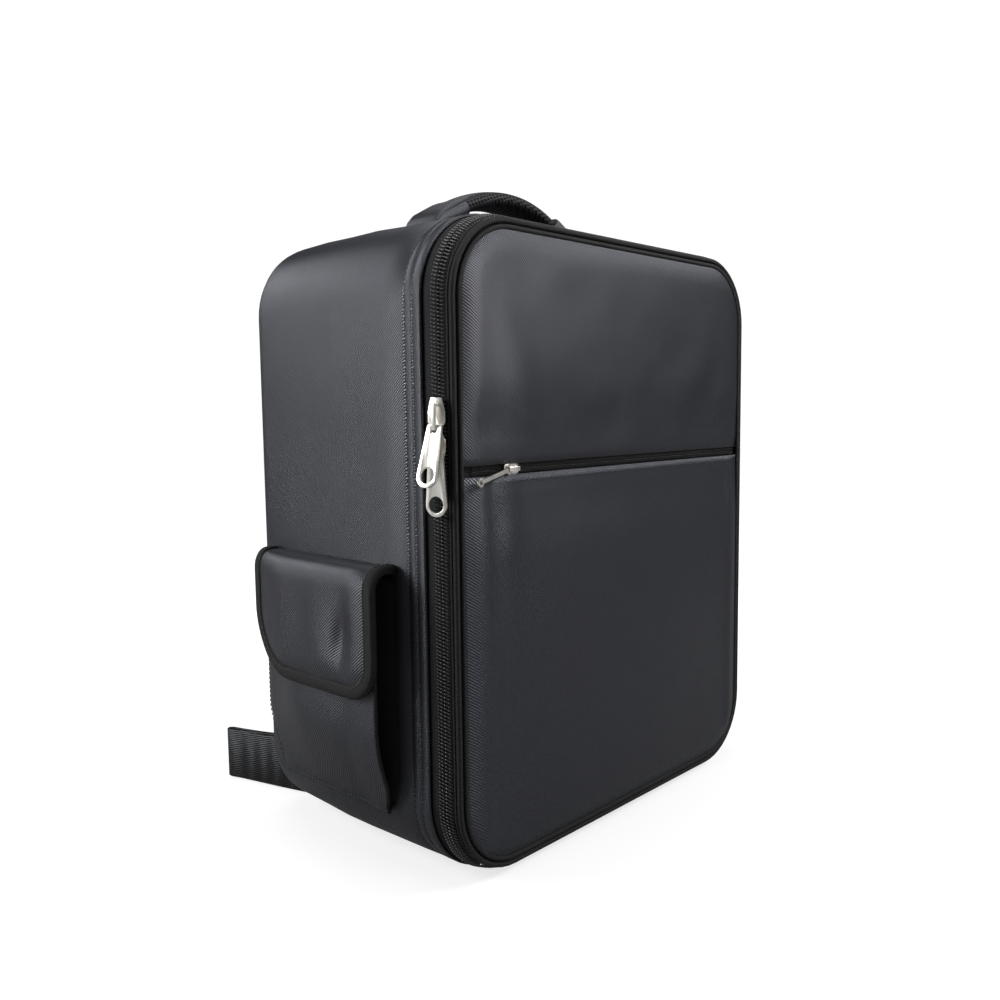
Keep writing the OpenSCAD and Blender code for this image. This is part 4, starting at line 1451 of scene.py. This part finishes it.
def add_back_pads():
    """Two mesh pads with a binding round each."""
    low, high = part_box("back_pads")
    pad_width, margin = 0.120, 0.003
    spans = [sorted((side * (-low.x - pad_width), side * -low.x)) for side in (-1, 1)]
    parts = []
    for inner, outer in spans:
        parts.append(box_piece("pad", (inner + margin, low.y - 0.0016, low.z + margin),
                               (outer - margin, high.y - 0.0035, high.z - margin), 0.0036, 4))
    pads = joined("back_pad_mesh", parts)
    puffed(pads, 4.0, 0.0035, 0.004)
    fit(smooth(pads), "case", MESH, "back_pads")
    rings = []
    for inner, outer in spans:
        frame_points = pad_outline(inner - 0.001, outer + 0.001, low.z - 0.001, high.z + 0.001, 0.008)
        rings.append(tube_round("pad_binding", frame_points, low.y + 0.0012, 0.0022))
    fit(joined("back_pad_binding", rings), "case", BINDING)


def add_yoke():
    """The padded strip that the shoulder straps are sewn under."""
    low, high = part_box("strap_yoke")
    yoke = grid("yoke_cloth", (0, low.y, (low.z + high.z) / 2), high.x - low.x, high.z - low.z, 60, 14,
                "back")
    seam = 0.003

    def pad_out(co):
        edge = min(high.x - abs(co.x), co.z - low.z, high.z - co.z)
        return Vector((co.x, low.y + (0.8 + 2.6 * pillow(edge - seam, 0.008)) * MM, co.z))
    shape(yoke, pad_out)
    thick(yoke, 0.002)
    fit(smooth(yoke), "case", NYLON, "strap_yoke")
    x, y, z0, z1 = high.x - seam, low.y + 0.0012, low.z + seam, high.z - seam
    corners = [(-x, y, z0), (x, y, z0), (x, y, z1), (-x, y, z1)]
    stitches_along("yoke_stitches", "case", loop_lines(corners), (0, 1, 0))


def pad_outline(x0, x1, z0, z1, radius, steps=6):
    """Points round an upright rectangle with round corners."""
    points = []
    for cx, cz, start in ((x1 - radius, z1 - radius, 0), (x0 + radius, z1 - radius, 90),
                          (x0 + radius, z0 + radius, 180), (x1 - radius, z0 + radius, 270)):
        for i in range(steps + 1):
            angle = math.radians(start + 90 * i / steps)
            points.append((cx + radius * math.cos(angle), cz + radius * math.sin(angle)))
    return points


def tube_round(name, outline, y, radius, count=8):
    """A closed cord that follows an upright outline."""
    rings = []
    total = len(outline)
    for i, (x, z) in enumerate(outline):
        before, after = outline[i - 1], outline[(i + 1) % total]
        along = Vector((after[0] - before[0], 0, after[1] - before[1])).normalized()
        side = Vector((along.z, 0, -along.x))
        rings.append(oval((x, y, z), side, (0, 1, 0), radius, radius, count, 2))
    rings.append(rings[0])
    return smooth(drawn(name, rings, close_ends=False))


SPLAY = math.radians(9)
STRAP_TOP = Vector((-0.055, 0.0, 0.405))


def on_strap(across, depth, down):
    """A point of the left strap: across it, back from the case's middle, and down along it."""
    point = Vector((across, depth, -down))
    turn = Matrix.Rotation(SPLAY, 4, "Y")
    return turn @ point + STRAP_TOP


def add_straps():
    """The padded shoulder straps and their ladder locks. The stations hold (down, depth, half
    thickness, half width) in millimetres."""
    stations = [(-7, 114.6, 1.2, 28.0), (1, 115.8, 1.4, 28.6), (9, 119.6, 2.2, 30.0), (17, 124.5, 3.6, 30.5),
                (30, 129, 4.6, 30.6), (60, 130, 5.0, 30.6), (100, 130, 5.2, 30.4), (150, 130, 5.2, 30.2),
                (200, 130, 5.0, 29.6), (230, 129.6, 4.4, 29.0), (243, 128.8, 3.4, 28.0),
                (249, 128.2, 2.0, 26.2)]
    rings = []
    for station in stations:
        down, depth, half_t, half_w = [value * MM for value in station]
        ring = oval((0, 0, 0), (1, 0, 0), (0, 1, 0), half_w, half_t, 28, 3.2)
        rings.append([on_strap(p.x, depth + p.y, down) for p in ring])
    pad = drawn("left_strap_cushion", rings)
    puffed(pad, 3.0, 0.002, 0.004)
    smooth(pad)
    right = mirrored(pad, "right_strap_cushion")
    for obj, side, sign in ((pad, "left", -1), (right, "right", 1)):
        fit_bent(obj, "case", side + "_strap", (sign * 0.055, 0.116, 0.4090), (sign * 0.056, 0.116, 0.3960),
                 NYLON, side + "_strap_pad")
    add_strap_tapes()
    for side in ("left", "right"):
        node = side + "_ladder_lock"
        fit(copied_node(node + "_plastic", node, 0.0008, 3), side + "_strap", BUCKLE, node)


def add_strap_tapes():
    """The webbing sewn down the middle of each strap, from its root to its lock."""
    top, bottom, half_w, half_t = 0.010, 0.252, 0.0125, 0.0009
    flat_depth, root_end, lock_start = 0.1362, 0.035, 0.235
    shoulder = half_w - 0.0005
    section = ((-half_w, 0), (-shoulder, half_t), (shoulder, half_t), (half_w, 0),
               (shoulder, -half_t), (-shoulder, -half_t))
    ribbon = []
    for down in spaced(top, bottom, 40):
        depth = flat_depth
        if down <= root_end:
            depth -= 0.011 * (1 - (down - top) / (root_end - top)) ** 1.3
        if down > lock_start:
            depth -= 0.0035 * ((down - lock_start) / (bottom - lock_start)) ** 2
        ribbon.append([on_strap(x, depth + t, down) for x, t in section])
    tape = smooth(drawn("left_strap_tape", ribbon), 40)
    twin = mirrored(tape, "right_strap_tape")
    fit(tape, "left_strap", WEBBING)
    fit(twin, "right_strap", WEBBING)


def webbing_rings(points, thickness=0.0017):
    """A flat strap through pairs of edge points (low, high)."""
    rings = []
    for i, (low, high) in enumerate(points):
        low, high = Vector(low), Vector(high)
        before, after = points[max(0, i - 1)], points[min(len(points) - 1, i + 1)]
        along = (Vector(after[0]) + Vector(after[1]) - Vector(before[0]) - Vector(before[1])).normalized()
        wide = (high - low).normalized()
        flat = along.cross(wide).normalized() * thickness / 2
        ring = [low + flat * 0.5, low + wide * 0.0008 + flat, high - wide * 0.0008 + flat, high + flat * 0.5,
                high - flat * 0.5, high - wide * 0.0008 - flat, low + wide * 0.0008 - flat, low - flat * 0.5]
        rings.append(ring)
    return rings


def add_webbing():
    """The loose webbing: from its tab out along the floor, folded back on itself and up to the lock."""
    lock_low, lock_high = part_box("left_ladder_lock")
    end_x, end_z = (lock_low.x + lock_high.x) / 2, lock_low.z + 0.003
    wide = 0.044
    floor_run = [(-0.149, 0.1152), (-0.151, 0.122), (-0.157, 0.142), (-0.164, 0.168), (-0.169, 0.186),
                 (-0.1722, 0.1950), (-0.1722, 0.1985), (-0.1700, 0.1995), (-0.1675, 0.1970), (-0.164, 0.186),
                 (-0.157, 0.166), (-0.149, 0.148), (-0.146, 0.140)]
    pairs = [((x, y, 0.0006), (x, y, wide + 0.0006)) for x, y in floor_run]
    low_start, high_start = Vector(pairs[-1][0]), Vector(pairs[-1][1])
    low_end = Vector((end_x - wide / 2, 0.1290, end_z + 0.003))
    high_end = Vector((end_x + wide / 2, 0.1290, end_z - 0.003))
    for share in spaced(0.08, 1.0, 14):
        ease = soft_step(share)
        low = low_start.lerp(low_end, share) + Vector((0, -0.004 * math.sin(math.pi * ease), 0))
        high = high_start.lerp(high_end, share) + Vector((0, -0.002 * math.sin(math.pi * ease), 0))
        high = low + (high - low).normalized() * wide
        pairs.append((low, high))
    strap = smooth(drawn("left_loose_webbing", webbing_rings(pairs)), 50)
    twin = mirrored(strap, "right_loose_webbing")
    for obj, side, sign in ((strap, "left", -1), (twin, "right", 1)):
        fit_bent(obj, "case", side + "_strap", (sign * 0.146, 0.140, 0.040), (sign * -end_x, 0.129, end_z),
                 WEBBING, side + "_webbing")


def add_tabs():
    """The cloth tabs that hold the lower ends of the webbing."""
    low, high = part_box("bottom_tabs")
    parts = []
    for side in (-1, 1):
        inner, outer = sorted((side * (high.x - 0.026), side * high.x))
        parts.append(box_piece("tab", (inner, low.y - 0.0008, low.z + 0.012),
                               (outer, high.y - 0.0006, high.z), 0.0006))
    fit(joined("bottom_tab_cloth", parts), "case", NYLON, "bottom_tabs")


add_handle()
add_sleeves()
add_patches()
add_back_pads()
add_yoke()
add_straps()
add_webbing()
add_tabs()


# ---------------------------------------------------------------- inside

def quilted(x, z, edge, pitch=0.055, rise=0.0016):
    """Soft squares between sewn lines."""
    across = abs(math.sin(math.pi * x / pitch))
    upward = abs(math.sin(math.pi * z / pitch))
    return rise * min(1.0, 2.2 * min(across, upward)) * pillow(edge, 0.012)


def add_lining():
    """The grey cloth that lines the walls and the quilted sheet at the back."""
    profile = [(-8.0, 79.4), (-8.0, -92.0), (-11.0, -100.4), (-19.0, -103.4), (-19.0, -102.8),
               (-11.5, -99.8), (-8.7, -91.8), (-8.7, 79.4)]
    walls = swept("wall_lining", [(out * MM, forward * MM) for out, forward in profile], full=True)
    rumple(walls, 0.05, 0.0004)
    fit(smooth(walls, 50), "case", LINING, "lining")
    inset = 0.0190
    back = rounded_sheet("back_lining", SIDE - inset, inset, TOP - inset, CORNER - inset, CORNER - inset,
                         0.1030, 0.0065, "front", lambda x, z, edge: -quilted(x, z, edge))
    thick(back, 0.0006)
    fit(smooth(back), "case", LINING)
    edge_tape = [(-2.4, 80.0), (-3.0, 80.5), (-8.4, 80.5), (-9.3, 79.8), (-9.5, 72.0), (-8.8, 71.8),
                 (-8.8, 79.5)]
    tape_ring = swept("wall_edge_tape", [(out * MM, forward * MM) for out, forward in edge_tape], full=True)
    fit(smooth(tape_ring, 50), "case", BINDING)


def add_dividers():
    """Foam dividers wrapped in the lining cloth, with soft edges."""
    for node in ("shelf_divider", "remote_divider", "battery_divider"):
        piece = copied_node(node + "_pad", node, 0.0026, 4)
        fit(piece, "case", LINING, node)


def add_drone_strap():
    """The strap across the upper bay, slightly slack between its ends."""
    low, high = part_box("drone_strap")
    strap = grid("drone_strap_webbing", (0, (low.y + high.y) / 2, (low.z + high.z) / 2), high.x - low.x,
                 high.z - low.z, 60, 6, "front")

    def sag(co):
        share = 1 - (co.x / high.x) ** 2
        return Vector((co.x, co.y, co.z - 0.004 * share * share))
    shape(strap, sag)
    thick(strap, 0.0016, 0)
    fit(smooth(strap, 40), "case", WEBBING, "drone_strap")


def add_door_inside():
    """The door's lining, puffed between its seams, and the mesh pocket with its elastic top."""
    low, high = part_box("door_lining")
    radius = CORNER - 0.019
    lining_sheet = rounded_sheet("door_inner_cloth", high.x, low.z, high.z, radius, radius, high.y - 0.0004,
                                 0.007, "back",
                                 lambda x, z, edge: quilted(x, z, edge, 0.08, 0.0012) - 0.0004)
    thick(lining_sheet, 0.0005)
    fit(smooth(lining_sheet), "door", LINING, "door_lining")
    low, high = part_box("door_mesh_pocket")
    net = rounded_sheet("door_net", high.x, low.z, high.z - 0.006, 0.030, 0.0, low.y + 0.0008, 0.008, "back",
                        lambda x, z, edge: 0.0022 * pillow(edge, 0.02) * soft_step((high.z - z) / 0.05))
    thick(net, 0.0006, 0)
    fit(smooth(net), "door", MESH, "door_mesh_pocket")
    hem = box_piece("door_net_elastic", (-high.x, low.y - 0.0002, high.z - 0.012),
                    (high.x, high.y + 0.0002, high.z), 0.0006)
    fit(hem, "door", TAPE)


def add_hidden_layers():
    """The foam and boards between the cloths keep their plain forms."""
    for node in ("gusset_foam", "back_foam", "door_foam"):
        keep(node, FOAM)
    for node in ("back_board", "door_board"):
        keep(node, BOARD)


add_lining()
add_dividers()
add_drone_strap()
add_door_inside()
add_hidden_layers()
